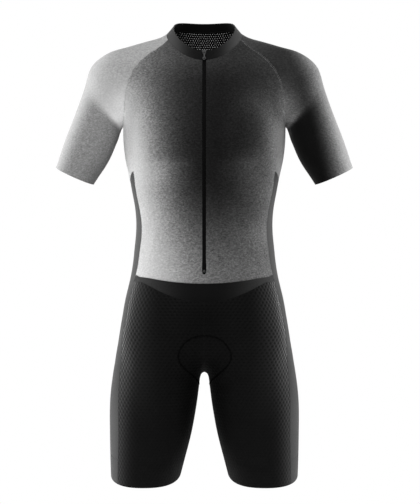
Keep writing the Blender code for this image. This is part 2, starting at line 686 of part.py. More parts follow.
# Side panels: one strip down each side, and below it the band of the hem.
def side_rows():
    """Rows round the side, from the edge in front to the edge behind."""
    front, back = side_point(-1, edge_heights), side_point(1, edge_heights)
    level = 0 * edge_heights
    inside = np.column_stack([level + DEEP_INSIDE, level, edge_heights])
    below = np.clip((edge_heights - CROTCH_FLOOR) / (HEM_EDGE - CROTCH_FLOOR), 0.0, 1.0)
    rise = (HEM_SIDE - HEM_EDGE) / (SIDE_REACH - DEEP_INSIDE) * below ** 2
    rows = fan(inside, ASIDE, AHEAD[1], front, back, np.linspace(0.0, 1.0, 2 * SIDE_COLUMNS + 1), rise)
    rows[0] = np.vstack([front_half[ROWS_TO_TIP, MAIN_COLUMNS:],
                         back_half[ROWS_TO_TIP, -2:LEG_COLUMNS - 1:-1]])
    return rows


side = side_rows()
for hand, turned in (("left", lambda rows: rows), ("right", mirrored)):
    sewn(f"side_panel_{hand}", turned(side[:BAND_STATION + 1]), side_knit)
    sewn(f"side_band_{hand}", turned(side[BAND_STATION:]), side_knit)

# Yoke: a crescent between the waist seam and the tops of the front legs.
waist_middle = middle_point(-1, 0.0, np.array([WAIST_FRONT]))
yoke_top = np.vstack([waist_middle, front_half[0, :MAIN_COLUMNS + 1]])
yoke_foot = leg_front[0, ::-1]
yoke_half = [yoke_top]
for share in np.linspace(0.0, 1.0, YOKE_ROWS + 1)[1:-1]:
    between = (1 - share) * yoke_top + share * yoke_foot
    start = between * np.array([0.5, 0.0, 1.0])     # level with it, half as far out
    yoke_half.append(cast(start, between - start))
yoke_half = np.stack(yoke_half + [yoke_foot])
sewn("front_yoke", np.concatenate([mirrored(yoke_half), yoke_half[:, 1:]], axis=1), yoke_knit)

# Collar: a low band that leans in, open in front for the zip.
collar_turns = np.concatenate([front_turns, sleeve_turns[1:], back_turns[::-1][1:]])
top_slot_turn = math.asin(SLOT / COLLAR_UPPER[0])
upper_turns = np.interp(collar_turns, (SLOT_TURN, math.pi), (top_slot_turn, math.pi))
collar_foot, collar_top = neck_seam(collar_turns), ring(COLLAR_UPPER, upper_turns)
share = np.array(COLLAR_SHARES)[:, None, None]
collar_half = (1 - share) * collar_foot + share * collar_top
collar_rows = np.concatenate([collar_half, mirrored(collar_half)[:, 1:]], axis=1)
collar_out = out_of_rows(collar_rows, np.array([0.0, 0.0, -0.010]), seam_row=0)
sewn("collar", collar_rows, collar_knit, out_of=collar_out)


# Seat pad: laid inside the shorts along the middle seam, and out to both sides of it.
# share of the pad's length from its front end, half width
PAD_OUTLINE = np.array([
    (0.00, 0.016),
    (0.04, 0.034),
    (0.10, 0.047),
    (0.17, 0.050),
    (0.26, 0.045),
    (0.36, 0.032),
    (0.46, 0.027),
    (0.58, 0.036),
    (0.72, 0.058),
    (0.84, 0.064),
    (0.94, 0.050),
    (1.00, 0.024),
])
PAD_FRONT = -0.5945
PAD_BACK = -0.6050
PAD_STEP = 0.002
PAD_SPREADING = 0.9           # power that sets its columns a little wider apart in the middle


def pad_rows():
    """Walk sideways over the figure from each station of the pad's middle line."""
    front, back = crotch_seam(-1), crotch_seam(1)
    front = front[np.argmax(front[:, 2] < PAD_FRONT):]
    back = back[np.argmax(back[:, 2] < PAD_BACK):]
    line = np.vstack([front, back[::-1][1:]])
    stations = np.linspace(0.0, 1.0, PAD_ROWS + 1)
    place = spread(line, stations)
    half = through(PAD_OUTLINE, 1, stations)
    way = np.broadcast_to(ASIDE, place.shape)
    walk = [place]
    for _ in range(int(half.max() / PAD_STEP) + 1):
        place = settle(place + PAD_STEP * way)
        moved = place - walk[-1]
        out = outward(place)
        way = unit(moved - (moved * out).sum(-1, keepdims=True) * out)
        walk.append(place)
    walk = np.stack(walk, axis=1)
    reach = np.arange(walk.shape[1]) * PAD_STEP
    share = np.linspace(0.0, 1.0, PAD_COLUMNS + 1) ** PAD_SPREADING
    return np.stack([np.stack([np.interp(share * width, reach, line[:, k]) for k in range(3)], -1)
                     for line, width in zip(walk, half)])


pad_half = pad_rows()
pad = np.concatenate([mirrored(pad_half), pad_half[:, 1:]], axis=1)
pad_sheet = sheet(pad)
thicken(pad_sheet, PAD_THICKNESS, outward, lift=-(WALL + PAD_CLEARANCE))
add_object("seat_pad", pad_sheet, pad_foam)


# ---------------------------------------------------------------- the zip
collar_low, collar_high = neck_seam(np.array([0.0]))[0], ring(COLLAR_UPPER, np.array([0.0]))[0]
COLLAR_HEIGHT = float(np.linalg.norm(collar_high - collar_low))
SLIDER_LENGTH = 0.0095
SLIDER_TOP_HALF = 0.0042
SLIDER_FOOT_HALF = 0.0031
TAPE_DEPTH = WALL + 0.0006
TAPE_CLEAR = 0.0004           # each tape's edge, from the middle
TAPE_PARTED = 0.0018          # the same, beside the slider's wedge
CHAIN_TOP = COLLAR_HEIGHT - SLIDER_LENGTH - 0.0005
STOP_UP = 0.0034              # middle of the stop above the end of the slot
STOP_RADIUS = 0.0023
CHAIN_DEPTH = 0.0002          # its face below the cloth's


def zip_line(out, heights, up_collar):
    """Points at a distance from the middle: up the chest, then on up the collar."""
    chest = middle_point(-1, out[:len(heights)], heights)
    low = neck_seam(np.arcsin(out[len(heights):] / COLLAR_LOWER[0]))
    high = ring(COLLAR_UPPER, np.arcsin(out[len(heights):] / COLLAR_UPPER[0]))
    share = (np.asarray(up_collar) / COLLAR_HEIGHT)[:, None]
    return np.vstack([chest, (1 - share) * low + share * high])


def zip_strip(name, edges, heights, up_collar, lift, wall, finish):
    """A strip along the zip, between two edges given as distances from the middle."""
    rows = np.stack([zip_line(np.broadcast_to(edge, len(heights) + len(up_collar)).astype(float),
                              heights, up_collar) for edge in edges], axis=1)
    bm = sheet(rows)
    thicken(bm, wall, out_of_rows(rows, BODY_INSIDE), lift)
    add_object(name, bm, finish)


up_collar = (0.0, 0.5 * COLLAR_HEIGHT, 0.8 * COLLAR_HEIGHT, COLLAR_HEIGHT)
tape_heights = np.concatenate([[ZIP_END - 0.008], front_heights[1:-1]])
inner_edge = np.concatenate([np.full(len(tape_heights) + 2, TAPE_CLEAR), [TAPE_PARTED, TAPE_PARTED]])
chain_heights = np.concatenate([[ZIP_END + STOP_UP + STOP_RADIUS + SEAM_GAP], front_heights[2:-1]])
for hand, side_of in (("left", 1.0), ("right", -1.0)):
    zip_strip(f"zip_tape_{hand}", (side_of * inner_edge, side_of * TAPE_WIDTH), tape_heights, up_collar,
              -TAPE_DEPTH, TAPE_WALL, tape_weave)
zip_strip("zip_chain", (-CHAIN_WIDTH / 2, CHAIN_WIDTH / 2), chain_heights, (0.0, CHAIN_TOP),
          -CHAIN_DEPTH, CHAIN_WALL, chain_coil)


def hold(name, place, turn):
    """An empty whose Y runs up the zip and whose Z points out of the cloth."""
    made = bpy.data.objects.new(name, None)
    made.location = place
    made.rotation_euler = (turn, 0.0, 0.0)
    suit.objects.link(made)
    return made


def plate(outline, low, high, round_by=0.0002):
    """A flat piece: an outline raised from one height to another, its rims rounded."""
    bm = bmesh.new()
    foot = bm.faces.new([bm.verts.new((x, y, low)) for x, y in outline])
    raised = bmesh.ops.extrude_face_region(bm, geom=[foot], use_keep_orig=True)
    bmesh.ops.translate(bm, vec=(0, 0, high - low),
                        verts=[item for item in raised["geom"] if isinstance(item, bmesh.types.BMVert)])
    bmesh.ops.recalc_face_normals(bm, faces=bm.faces)
    if round_by:
        rims = [edge for edge in bm.edges if abs(edge.verts[0].co.z - edge.verts[1].co.z) < 1e-9]
        bmesh.ops.bevel(bm, geom=rims, offset=round_by, segments=1, profile=0.5, affect="EDGES")
    return bm


def turns(count):
    """Even turns round a circle."""
    return [2 * math.pi * step / count for step in range(count)]


def squared(half_top, half_foot, top, foot, power=0.55):
    """Outline of a plate with rounded corners, as wide as given at its top and its foot."""
    points = []
    for turn in turns(16):
        across = math.copysign(abs(math.cos(turn)) ** power, math.cos(turn))
        up = math.copysign(abs(math.sin(turn)) ** power, math.sin(turn))
        half = half_foot + (half_top - half_foot) * (up + 1) / 2
        points.append((across * half, foot + (top - foot) * (up + 1) / 2))
    return points


def disc(radius, middle):
    """Outline of a round hole or plate whose middle lies at a height."""
    return [(radius * math.cos(turn), middle + radius * math.sin(turn)) for turn in turns(12)]


def both_sides(table):
    """Outline from a table of heights and half widths, from the top down."""
    return [(half, up) for up, half in table[::-1]] + [(-half, up) for up, half in table]


def placed(name, bm, parent, finish, collection):
    """Close a bmesh into a named object held by an empty."""
    bmesh.ops.recalc_face_normals(bm, faces=bm.faces)
    mesh = bpy.data.meshes.new(name)
    bm.to_mesh(mesh)
    bm.free()
    mesh.materials.append(finish)
    mesh.shade_smooth()
    mesh.set_sharp_from_angle(angle=math.radians(40))
    made = bpy.data.objects.new(name, mesh)
    collection.objects.link(made)
    made.parent = parent
    return made


def shape(target, name, bm, operation):
    """Join a shape to a piece, or cut it out of the piece."""
    tool = placed(name, bm, target.parent, metal, helpers)
    tool.hide_render = True
    tool.display_type = "WIRE"
    cut = target.modifiers.new(name, "BOOLEAN")
    cut.operation = operation
    cut.object = tool


collar_slope = collar_high - collar_low
ZIP_TURN = math.atan2(collar_slope[2], collar_slope[1])
slider_middle = COLLAR_HEIGHT - SLIDER_LENGTH / 2
slider_hold = hold("zip_slider_place", collar_low + collar_slope * slider_middle / COLLAR_HEIGHT, ZIP_TURN)

FRONT_PLATE = (0.0004, 0.0015)
REAR_PLATE = (-0.0043, -0.0034)
PIVOT_UP = 0.0025             # the pull's axis above the cloth
PULL_WALL = 0.0010
BAIL_HALF = 0.0020
BAIL_BAR = 0.0009
BAIL_WIDTH = 0.0016
BITE = 0.0004                 # how far the wedge and the bail go into the plates
top, foot = SLIDER_LENGTH / 2, -SLIDER_LENGTH / 2

outline = squared(SLIDER_TOP_HALF, SLIDER_FOOT_HALF, top, foot)
slider = placed("zip_slider", plate(outline, *FRONT_PLATE), slider_hold, metal, suit)
shape(slider, "rear_plate", plate(outline, *REAR_PLATE), "UNION")
wedge = squared(0.0012, 0.0008, top - 0.0004, top - 0.0026)
shape(slider, "wedge", plate(wedge, REAR_PLATE[0] + BITE, FRONT_PLATE[1] - BITE, 0.0), "UNION")
bail_top = PIVOT_UP + PULL_WALL / 2 + 0.0004
bail_end = BAIL_HALF + BAIL_BAR
bail = squared(BAIL_WIDTH / 2, BAIL_WIDTH / 2, bail_end, -bail_end, 0.3)
shape(slider, "bail", plate(bail, FRONT_PLATE[1] - BITE, bail_top + BAIL_BAR), "UNION")
bail_eye = squared(BAIL_WIDTH, BAIL_WIDTH, BAIL_HALF, -BAIL_HALF, 0.3)
shape(slider, "bail_eye", plate(bail_eye, FRONT_PLATE[1], bail_top, 0.0), "DIFFERENCE")

# Pull: a flat tab whose top bar lies under the bail, with an eye at its end.
# height above the axis, half width
PULL_OUTLINE = (
    (0.0005, 0.0021),
    (0.0000, 0.0026),
    (-0.0060, 0.0024),
    (-0.0080, 0.0017),
    (-0.0118, 0.0015),
    (-0.0132, 0.0024),
    (-0.0148, 0.0033),
    (-0.0165, 0.0035),
    (-0.0180, 0.0030),
    (-0.0191, 0.0018),
    (-0.0196, 0.0006),
)
PULL_EYE = 0.0162             # middle of the eye below the axis
CUT = 0.002                   # past both faces of the tab
pull_hold = hold("zip_pull_axis", (0.0, 0.0, PIVOT_UP), 0.0)
pull_hold.parent = slider_hold
half_wall = PULL_WALL / 2
pull = placed("zip_pull", plate(both_sides(PULL_OUTLINE), -half_wall, half_wall), pull_hold, metal, suit)
window = squared(0.0013, 0.0013, -0.0005, -0.0050, 0.4)
shape(pull, "pull_window", plate(window, -CUT, CUT, 0.0), "DIFFERENCE")
shape(pull, "pull_eye", plate(disc(0.0015, -PULL_EYE), -CUT, CUT, 0.0), "DIFFERENCE")

# Bottom stop: a small turned ring closed round the foot of the chain.
# distance from its axis, height above the cloth
stop_profile = (
    (0.0010, -0.0017),
    (0.0010, 0.0003),
    (0.0014, 0.0006),
    (0.0019, 0.0006),
    (STOP_RADIUS, 0.0002),
    (STOP_RADIUS, -0.0017),
)
stop_place = middle_point(-1, np.array([0.0, 0.0]), np.array([ZIP_END, ZIP_END + STOP_UP]))
stop_slope = stop_place[1] - stop_place[0]
stop_hold = hold("zip_stop_place", stop_place[1], math.atan2(stop_slope[2], stop_slope[1]))
bm = bmesh.new()
loop = [bm.verts.new((radius, 0.0, height)) for radius, height in stop_profile]
for first, second in zip(loop, loop[1:] + loop[:1]):
    bm.edges.new((first, second))
bmesh.ops.spin(bm, geom=bm.verts[:] + bm.edges[:], cent=(0, 0, 0), axis=(0, 0, 1),
               angle=2 * math.pi, steps=16, use_merge=True, use_duplicate=False)
bmesh.ops.remove_doubles(bm, verts=bm.verts, dist=1e-6)
placed("zip_stop", bm, stop_hold, metal, suit)
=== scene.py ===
"""Looks of the short-sleeved triathlon suit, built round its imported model.

Metres, +Z up. The wearer faces -Y and the wearer's left is +X.
"""
import math

import bmesh
import bpy
import numpy as np
from mathutils import Matrix, Vector
from mathutils.bvhtree import BVHTree


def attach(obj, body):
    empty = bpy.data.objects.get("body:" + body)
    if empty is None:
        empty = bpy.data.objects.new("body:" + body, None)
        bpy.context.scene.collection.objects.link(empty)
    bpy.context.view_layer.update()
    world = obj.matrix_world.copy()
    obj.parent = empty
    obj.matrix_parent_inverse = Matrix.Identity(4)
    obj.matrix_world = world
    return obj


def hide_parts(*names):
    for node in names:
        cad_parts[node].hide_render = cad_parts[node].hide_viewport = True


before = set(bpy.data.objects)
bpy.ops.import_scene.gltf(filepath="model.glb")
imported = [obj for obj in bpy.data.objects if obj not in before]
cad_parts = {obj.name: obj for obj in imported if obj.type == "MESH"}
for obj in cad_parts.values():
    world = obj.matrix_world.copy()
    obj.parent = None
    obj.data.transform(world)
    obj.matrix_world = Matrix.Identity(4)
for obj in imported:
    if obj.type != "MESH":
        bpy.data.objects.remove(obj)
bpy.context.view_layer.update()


# ------------------------ the worn cloth, before it is cut apart
# Fourteen knitted pieces meet edge to edge and stretch smoothly over the body. They are first joined
# into one skin, smoothed together so that no seam kinks, and given the soft troughs that the wearer's
# chest, arms and hips pull into the knit. Each piece is then cut out of this skin along its seams.
CLOTH = ("front_panel", "back_panel", "sleeve_left", "sleeve_right", "front_yoke", "collar",
         "side_panel_left", "side_panel_right", "side_band_left", "side_band_right",
         "leg_front_left", "leg_front_right", "leg_back_left", "leg_back_right")
SEWN_WITHIN = 0.0007          # points of two pieces closer than this are one point of a seam
SEAM_DIP = 0.00015            # how far the cloth is drawn in along a seam

# How far the knit is pushed in, half the width of the hollow, and points of its line as seen from
# in front (facing -1) or behind (facing 1): distance out to the wearer's left, height.
TROUGHS = (
    # under the chest, and the dips that run from it to the waist
    (-1, 0.0052, 0.021, ((-0.108, -0.222), (-0.080, -0.243), (-0.048, -0.250), (-0.022, -0.244))),
    (-1, 0.0056, 0.021, ((0.112, -0.219), (0.086, -0.241), (0.052, -0.251), (0.020, -0.247))),
    (-1, 0.0016, 0.013, ((0.034, -0.268), (0.066, -0.296), (0.112, -0.330))),
    (-1, 0.0013, 0.012, ((-0.046, -0.296), (-0.074, -0.316), (-0.112, -0.322))),
    (-1, 0.0011, 0.010, ((0.084, -0.352), (0.104, -0.392), (0.112, -0.430))),
    (-1, 0.0010, 0.010, ((-0.092, -0.366), (-0.110, -0.402), (-0.116, -0.452))),
    (-1, 0.0009, 0.009, ((0.030, -0.420), (0.064, -0.438), (0.100, -0.446))),
    # from the armpits on to the chest and up the front of each sleeve
    (-1, 0.0018, 0.013, ((0.146, -0.178), (0.126, -0.160), (0.108, -0.128))),
    (-1, 0.0015, 0.012, ((-0.148, -0.182), (-0.128, -0.158), (-0.114, -0.132))),
    (-1, 0.0024, 0.014, ((0.172, -0.182), (0.190, -0.156), (0.216, -0.134))),
    (-1, 0.0021, 0.015, ((-0.170, -0.178), (-0.192, -0.150), (-0.214, -0.132))),
    (-1, 0.0012, 0.009, ((0.206, -0.214), (0.228, -0.200), (0.250, -0.196))),
    (-1, 0.0010, 0.009, ((-0.212, -0.224), (-0.232, -0.216), (-0.256, -0.204))),
    (-1, 0.0009, 0.008, ((-0.226, -0.262), (-0.246, -0.250), (-0.262, -0.252))),
    # shorts: beside the crotch, across the groin and above the hems
    (-1, 0.0019, 0.012, ((0.016, -0.648), (0.046, -0.622), (0.086, -0.600))),
    (-1, 0.0016, 0.012, ((-0.018, -0.644), (-0.052, -0.616), (-0.092, -0.598))),
    (-1, 0.0011, 0.010, ((0.030, -0.694), (0.060, -0.684), (0.094, -0.690))),
    (-1, 0.0010, 0.010, ((-0.036, -0.712), (-0.068, -0.700), (-0.100, -0.708))),
    (-1, 0.0009, 0.009, ((0.074, -0.842), (0.104, -0.850), (0.132, -0.842))),
    (-1, 0.0008, 0.009, ((-0.070, -0.836), (-0.098, -0.846), (-0.124, -0.840))),
    # behind: shoulder blades, the hollow of the back, under the seat and above the knees
    (1, 0.0020, 0.015, ((0.132, -0.168), (0.104, -0.196), (0.076, -0.236))),
    (1, 0.0022, 0.014, ((-0.136, -0.174), (-0.100, -0.206), (-0.078, -0.252))),
    (1, 0.0016, 0.014, ((0.004, -0.120), (-0.003, -0.190), (0.002, -0.268))),
    (1, 0.0017, 0.011, ((-0.096, -0.356), (-0.040, -0.372), (0.022, -0.366), (0.078, -0.350))),
    (1, 0.0013, 0.010, ((-0.066, -0.398), (-0.012, -0.408), (0.048, -0.400))),
    (1, 0.0010, 0.009, ((0.040, -0.436), (0.082, -0.428), (0.116, -0.416))),
    (1, 0.0020, 0.013, ((0.020, -0.652), (0.062, -0.668), (0.116, -0.656))),
    (1, 0.0018, 0.013, ((-0.022, -0.656), (-0.066, -0.672), (-0.112, -0.664))),
    (1, 0.0011, 0.010, ((0.066, -0.716), (0.098, -0.724), (0.134, -0.716))),
    (1, 0.0012, 0.011, ((-0.060, -0.728), (-0.092, -0.738), (-0.128, -0.732))),
    (1, 0.0009, 0.009, ((0.078, -0.836), (0.104, -0.842), (0.132, -0.836))),
    (1, 0.0023, 0.014, ((0.176, -0.178), (0.194, -0.154), (0.220, -0.132))),
    (1, 0.0019, 0.013, ((-0.172, -0.184), (-0.196, -0.158), (-0.222, -0.140))),
    (1, 0.0011, 0.009, ((0.214, -0.232), (0.236, -0.222), (0.256, -0.218))),
    (1, 0.0010, 0.009, ((-0.208, -0.220), (-0.234, -0.208), (-0.252, -0.210))),
)


def outer_sheet(node, number):
    """The side of a piece's solid that shows, as a bmesh whose faces carry the piece's number."""
    bm = bmesh.new()
    bm.from_mesh(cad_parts[node].data)
    bmesh.ops.remove_doubles(bm, verts=bm.verts, dist=1e-6)
    rims = [edge for edge in bm.edges if edge.calc_face_angle(0.0) > math.radians(55)]
    bmesh.ops.split_edges(bm, edges=rims)
    islands, reached = [], set()
    for face in bm.faces:
        if face in reached:
            continue
        island, front = [], [face]
        reached.add(face)
        while front:
            island.append(front.pop())
            beside = {other for edge in island[-1].edges for other in edge.link_faces} - reached
            reached |= beside
            front.extend(beside)
        islands.append(island)
    islands.sort(key=lambda island: -sum(face.calc_area() for face in island))
    inner = {tuple(round(c, 6) for c in vertex.co) for face in islands[1] for vertex in face.verts}
    outer = {face for face in islands[0]
             if not any(tuple(round(c, 6) for c in vertex.co) in inner for vertex in face.verts)}
    bmesh.ops.delete(bm, geom=[face for face in bm.faces if face not in outer], context="FACES")
    for face in bm.faces:
        face.material_index = number
        face.smooth = True
    return bm


def smoothed(mesh, levels):
    """The mesh subdivided into a smooth surface that still passes through its first points."""
    holder = bpy.data.objects.new("skin_holder", mesh)
    bpy.context.scene.collection.objects.link(holder)
    smooth = holder.modifiers.new("smooth", "SUBSURF")
    smooth.levels = smooth.render_levels = levels
    smooth.boundary_smooth = "PRESERVE_CORNERS"
    knots = np.zeros(len(mesh.vertices) * 3)
    mesh.vertices.foreach_get("co", knots)
    for turn in range(3):
        graph = bpy.context.evaluated_depsgraph_get()
        made = bpy.data.meshes.new_from_object(holder.evaluated_get(graph))
        if turn < 2:
            now = np.zeros(len(made.vertices) * 3)
            made.vertices.foreach_get("co", now)
            held = np.zeros(len(knots))
            mesh.vertices.foreach_get("co", held)
            mesh.vertices.foreach_set("co", held + knots - now[:len(knots)])
            mesh.update()
            bpy.data.meshes.remove(made)
    bpy.data.objects.remove(holder)
    return made


whole = bmesh.new()
for number, name in enumerate(CLOTH):
    sheet = outer_sheet(name, number)
    held = bpy.data.meshes.new(name + "_sheet")
    sheet.to_mesh(held)
    sheet.free()
    whole.from_mesh(held)
    bpy.data.meshes.remove(held)
bmesh.ops.remove_doubles(whole, verts=whole.verts, dist=SEWN_WITHIN)
bmesh.ops.join_triangles(whole, faces=whole.faces, cmp_materials=True,
                         angle_face_threshold=math.radians(60), angle_shape_threshold=math.radians(80))
cage = bpy.data.meshes.new("skin_cage")
whole.to_mesh(cage)
whole.free()
skin_bm = bmesh.new()
skin_bm.from_mesh(smoothed(cage, 2))
shape_of_skin = BVHTree.FromBMesh(skin_bm)
points = np.array([vertex.co[:] for vertex in skin_bm.verts])


def ease(share):
    """0 up to 0, 1 from 1 on, and a smooth rise between them."""
    share = np.clip(share, 0.0, 1.0)
    return share * share * (3.0 - 2.0 * share)


def hill(place, middle, reach):
    """1 at a middle, falling smoothly to 0 at a distance from it."""
    return ease(1.0 - np.abs(place - middle) / reach)


def sewn_line(*pieces):
    """Numbers of the skin's points where two pieces meet."""
    pair = {CLOTH.index(piece) for piece in pieces}
    return sorted({vertex.index for edge in skin_bm.edges
                   if {face.material_index for face in edge.link_faces} == pair for vertex in edge.verts})


def height_of(line, along):
    """Height of a line of the skin's points, as a function of how far along it they are."""
    order = np.argsort(along[line])
    return lambda place: np.interp(place, along[line][order], points[line, 2][order])


across, deep, height = points.T
out, hand_side = np.abs(across), np.sign(across)

# The waist seam and the yoke's lower seam each sweep down to the middle in one even curve: its height
# at the middle, how much it rises by a distance out, that distance, and how hard it bends. The skin
# above and below goes along, less and less.
WAIST_SWEEP = (-0.4964, 0.0151, 0.129, 2.0)
YOKE_SWEEP = (-0.5331, 0.0456, 0.130, 1.8)
SIDE_SEAM, SEAM_EASE = 0.134, 0.016     # the sweeps end at this distance out, eased over a last stretch
ABOVE_WAIST, BELOW_YOKE = 0.035, 0.045


def sweep(lowest, rise, reach, bend):
    """Height of a seam that curves up from the middle to both sides."""
    return lowest + rise * (out / reach) ** bend


waist_line = np.array(sewn_line("front_panel", "front_yoke"))
yoke_line = np.array(sewn_line("front_yoke", "leg_front_left") + sewn_line("front_yoke", "leg_front_right"))
waist_now = height_of(waist_line, across)(across)
yoke_now = height_of(yoke_line, across)(across)
to_side = ease((SIDE_SEAM - out) / SEAM_EASE)
waist_shift = (sweep(*WAIST_SWEEP) - waist_now) * to_side
yoke_shift = (sweep(*YOKE_SWEEP) - yoke_now) * to_side
down_yoke = np.clip((waist_now - height) / np.maximum(waist_now - yoke_now, 0.002), 0.0, 1.0)
above = waist_shift * ease(1.0 - (height - waist_now) / ABOVE_WAIST)
within = (1 - down_yoke) * waist_shift + down_yoke * yoke_shift
below = yoke_shift * ease(1.0 - (yoke_now - height) / BELOW_YOKE)
facing_front = deep < -0.02
shift = np.where(height > waist_now, above, np.where(height > yoke_now, within, below)) * facing_front

# the yoke's two points run on out to the side seams
TIP_HEIGHT, TIP_REACH, TIP_WIDER = -0.487, 0.026, 0.0075
TIP_FROM, TIP_TO = 0.100, 0.1415        # distances out
beside_tip = ease((out - TIP_FROM) / 0.022) * ease((TIP_TO - out) / 0.011)
wider = TIP_WIDER * beside_tip * hill(height, TIP_HEIGHT, TIP_REACH) * hand_side * facing_front

# the black back wraps a little way to the front below the armpits
WRAP, WRAP_REACH = 0.013, 0.040
WRAP_BOTTOM, WRAP_TOP = -0.281, -0.186
WRAP_FROM, WRAP_TO = 0.09, 0.17         # distances out: the side of the trunk without the arm
seam = np.array(sewn_line("front_panel", "back_panel"))
by_height = seam[np.argsort(points[seam, 2])]
side_middle = np.interp(height, points[by_height, 2], points[by_height, 1])
between = ease((height - WRAP_BOTTOM) / 0.030) * ease((WRAP_TOP - height) / 0.020)
forward = WRAP * between * hill(deep, side_middle, WRAP_REACH) * (out > WRAP_FROM) * (out < WRAP_TO)

# The side panels rise to a point in front, from which their top edge falls away backwards. Heights,
# and how far forward the panel's front edge stands there.
POINT_EDGE = ((-0.360, 0.0), (-0.335, 0.0016), (-0.320, 0.003), (-0.305, 0.005), (-0.290, 0.010),
              (-0.279, 0.0115), (-0.260, 0.0))
POINT_DEPTH, POINT_REACH = -0.043, 0.030
TOP_HEIGHT, TOP_REACH, TOP_DROP = -0.284, 0.022, 0.009
TOP_FRONT, TOP_BACK = -0.042, 0.045     # depths between which the top edge lies
PANEL_FROM, PANEL_TO = 0.12, 0.165      # distances out
trunk_side = (out > PANEL_FROM) & (out < PANEL_TO)
to_point = np.interp(height, *zip(*POINT_EDGE))
forward = forward + to_point * hill(deep, POINT_DEPTH, POINT_REACH) * trunk_side
backwards = ease((deep - TOP_FRONT) / 0.024) * ease((TOP_BACK - deep) / 0.035)
shift = shift - TOP_DROP * backwards * hill(height, TOP_HEIGHT, TOP_REACH) * trunk_side

# every point that moves is set down on the skin again, so only the seams change
slid = points + np.stack([wider, -forward, shift], -1)
for i in np.flatnonzero(np.abs(shift) + np.abs(wider) + forward > 1e-5):
    slid[i] = shape_of_skin.find_nearest(slid[i])[0][:]

# The sides run straight from the waist over the hips to the thighs: how far out each place goes, its
# height, and how far above and below it the cloth goes along.
SIDES = ((-0.0010, -0.352, 0.042), (-0.0010, -0.474, 0.052),
         (0.0026, -0.606, 0.054), (-0.0014, -0.680, 0.056))
straighten = sum(by * hill(height, level, reach) for by, level, reach in SIDES)
MIDDLE_KEPT, MIDDLE_EASE = 0.06, 0.07   # the cloth nearer the middle than this stays where it is
slid[:, 0] += straighten * ease((out - MIDDLE_KEPT) / MIDDLE_EASE) * hand_side

# hems of the legs: level in front with rounded ends
HEMS_BELOW = -0.8
HEM_REACH = 0.055               # how far above the hem the cloth goes along
HEM_FLATNESS, HEM_ROUNDING = 3, 0.455
for side in (-1.0, 1.0):
    hem = {vertex.index for edge in skin_bm.edges if edge.is_boundary for vertex in edge.verts
           if vertex.co.z < HEMS_BELOW and vertex.co.x * side > 0}
    hem = np.array(sorted(hem))
    middle = (points[hem].min(axis=0) + points[hem].max(axis=0)) / 2
    turn = np.arctan2((across - middle[0]) * side, -(deep - middle[1]))
    hem_now = height_of(hem, turn)
    ends = np.where(turn > 0, hem_now(math.pi / 2), hem_now(-math.pi / 2))
    level = (1.0 - np.abs(np.sin(turn)) ** HEM_FLATNESS) ** HEM_ROUNDING
    drop = ends + (hem_now(0.0) - ends) * level - hem_now(turn)
    leg_front = (np.abs(turn) < math.pi / 2) & (across * side > 0) & (height < HEMS_BELOW)
    slid[:, 2] += drop * ease(1.0 - (height - hem_now(turn)) / HEM_REACH) * leg_front

# the armpits are drawn up into a narrow slit
ARMPIT = (0.1655, -0.1965)      # distance out and height
ARMPIT_LIFT, ARMPIT_REACH, ARMPIT_DEPTH = 0.0095, 0.021, 0.062
from_pit = np.hypot(out - ARMPIT[0], height - ARMPIT[1])
across_pit = ease((ARMPIT_DEPTH - np.abs(deep)) / 0.034)
slid[:, 2] += ARMPIT_LIFT * ease(1.0 - from_pit / ARMPIT_REACH) * across_pit

# cuffs: cut a little longer in front
ARM_LEAN = math.radians(24.75)
CUFF_PLACE = (0.259, -0.2842)   # middle of the cuff: distance out and height
CUFF_HALF_DEPTH, CUFF_LONGER, CUFF_REACH = 0.058, 0.0046, 0.06
along_arm = (height - CUFF_PLACE[1]) * math.cos(ARM_LEAN) - (out - CUFF_PLACE[0]) * math.sin(ARM_LEAN)
sleeve_points = [vertex.index for face in skin_bm.faces if "sleeve" in CLOTH[face.material_index]
                 for vertex in face.verts]
is_sleeve = np.isin(np.arange(len(points)), sleeve_points)
to_front = np.clip(-deep / CUFF_HALF_DEPTH, 0.0, 1.0)
longer = CUFF_LONGER * to_front * ease(1.0 - along_arm / CUFF_REACH) * is_sleeve
slid[:, 0] += longer * math.sin(ARM_LEAN) * hand_side
slid[:, 2] -= longer * math.cos(ARM_LEAN)
for vertex, place in zip(skin_bm.verts, slid):
    vertex.co = place
skin_bm.normal_update()
shape_of_skin = BVHTree.FromBMesh(skin_bm)


def on_skin(facing, out, height):
    """The skin's point straight in front of or behind a place in the front view."""
    return shape_of_skin.ray_cast(Vector((out, facing * 0.5, height)), Vector((0.0, -facing, 0.0)))[0]


def run_along(line):
    """How far each of a line's points is from its start, measured along it."""
    return np.concatenate([[0.0], np.cumsum(np.linalg.norm(np.diff(line, axis=0), axis=1))])


def curved(line, count=24):
    """A smooth curve through a few points of the front view."""
    line = np.array(line, float)
    run = run_along(line)
    at = np.linspace(0.0, run[-1], count)
    bent = []
    for k in range(line.shape[1]):
        slopes = np.gradient(line[:, k], run)
        i = np.clip(np.searchsorted(run, at) - 1, 0, len(run) - 2)
        width = run[i + 1] - run[i]
        t = (at - run[i]) / width
        bent.append((2 * t**3 - 3 * t**2 + 1) * line[i, k] + (t**3 - 2 * t**2 + t) * width * slopes[i]
                    + (3 * t**2 - 2 * t**3) * line[i + 1, k] + (t**3 - t**2) * width * slopes[i + 1])
    return np.stack(bent, -1)


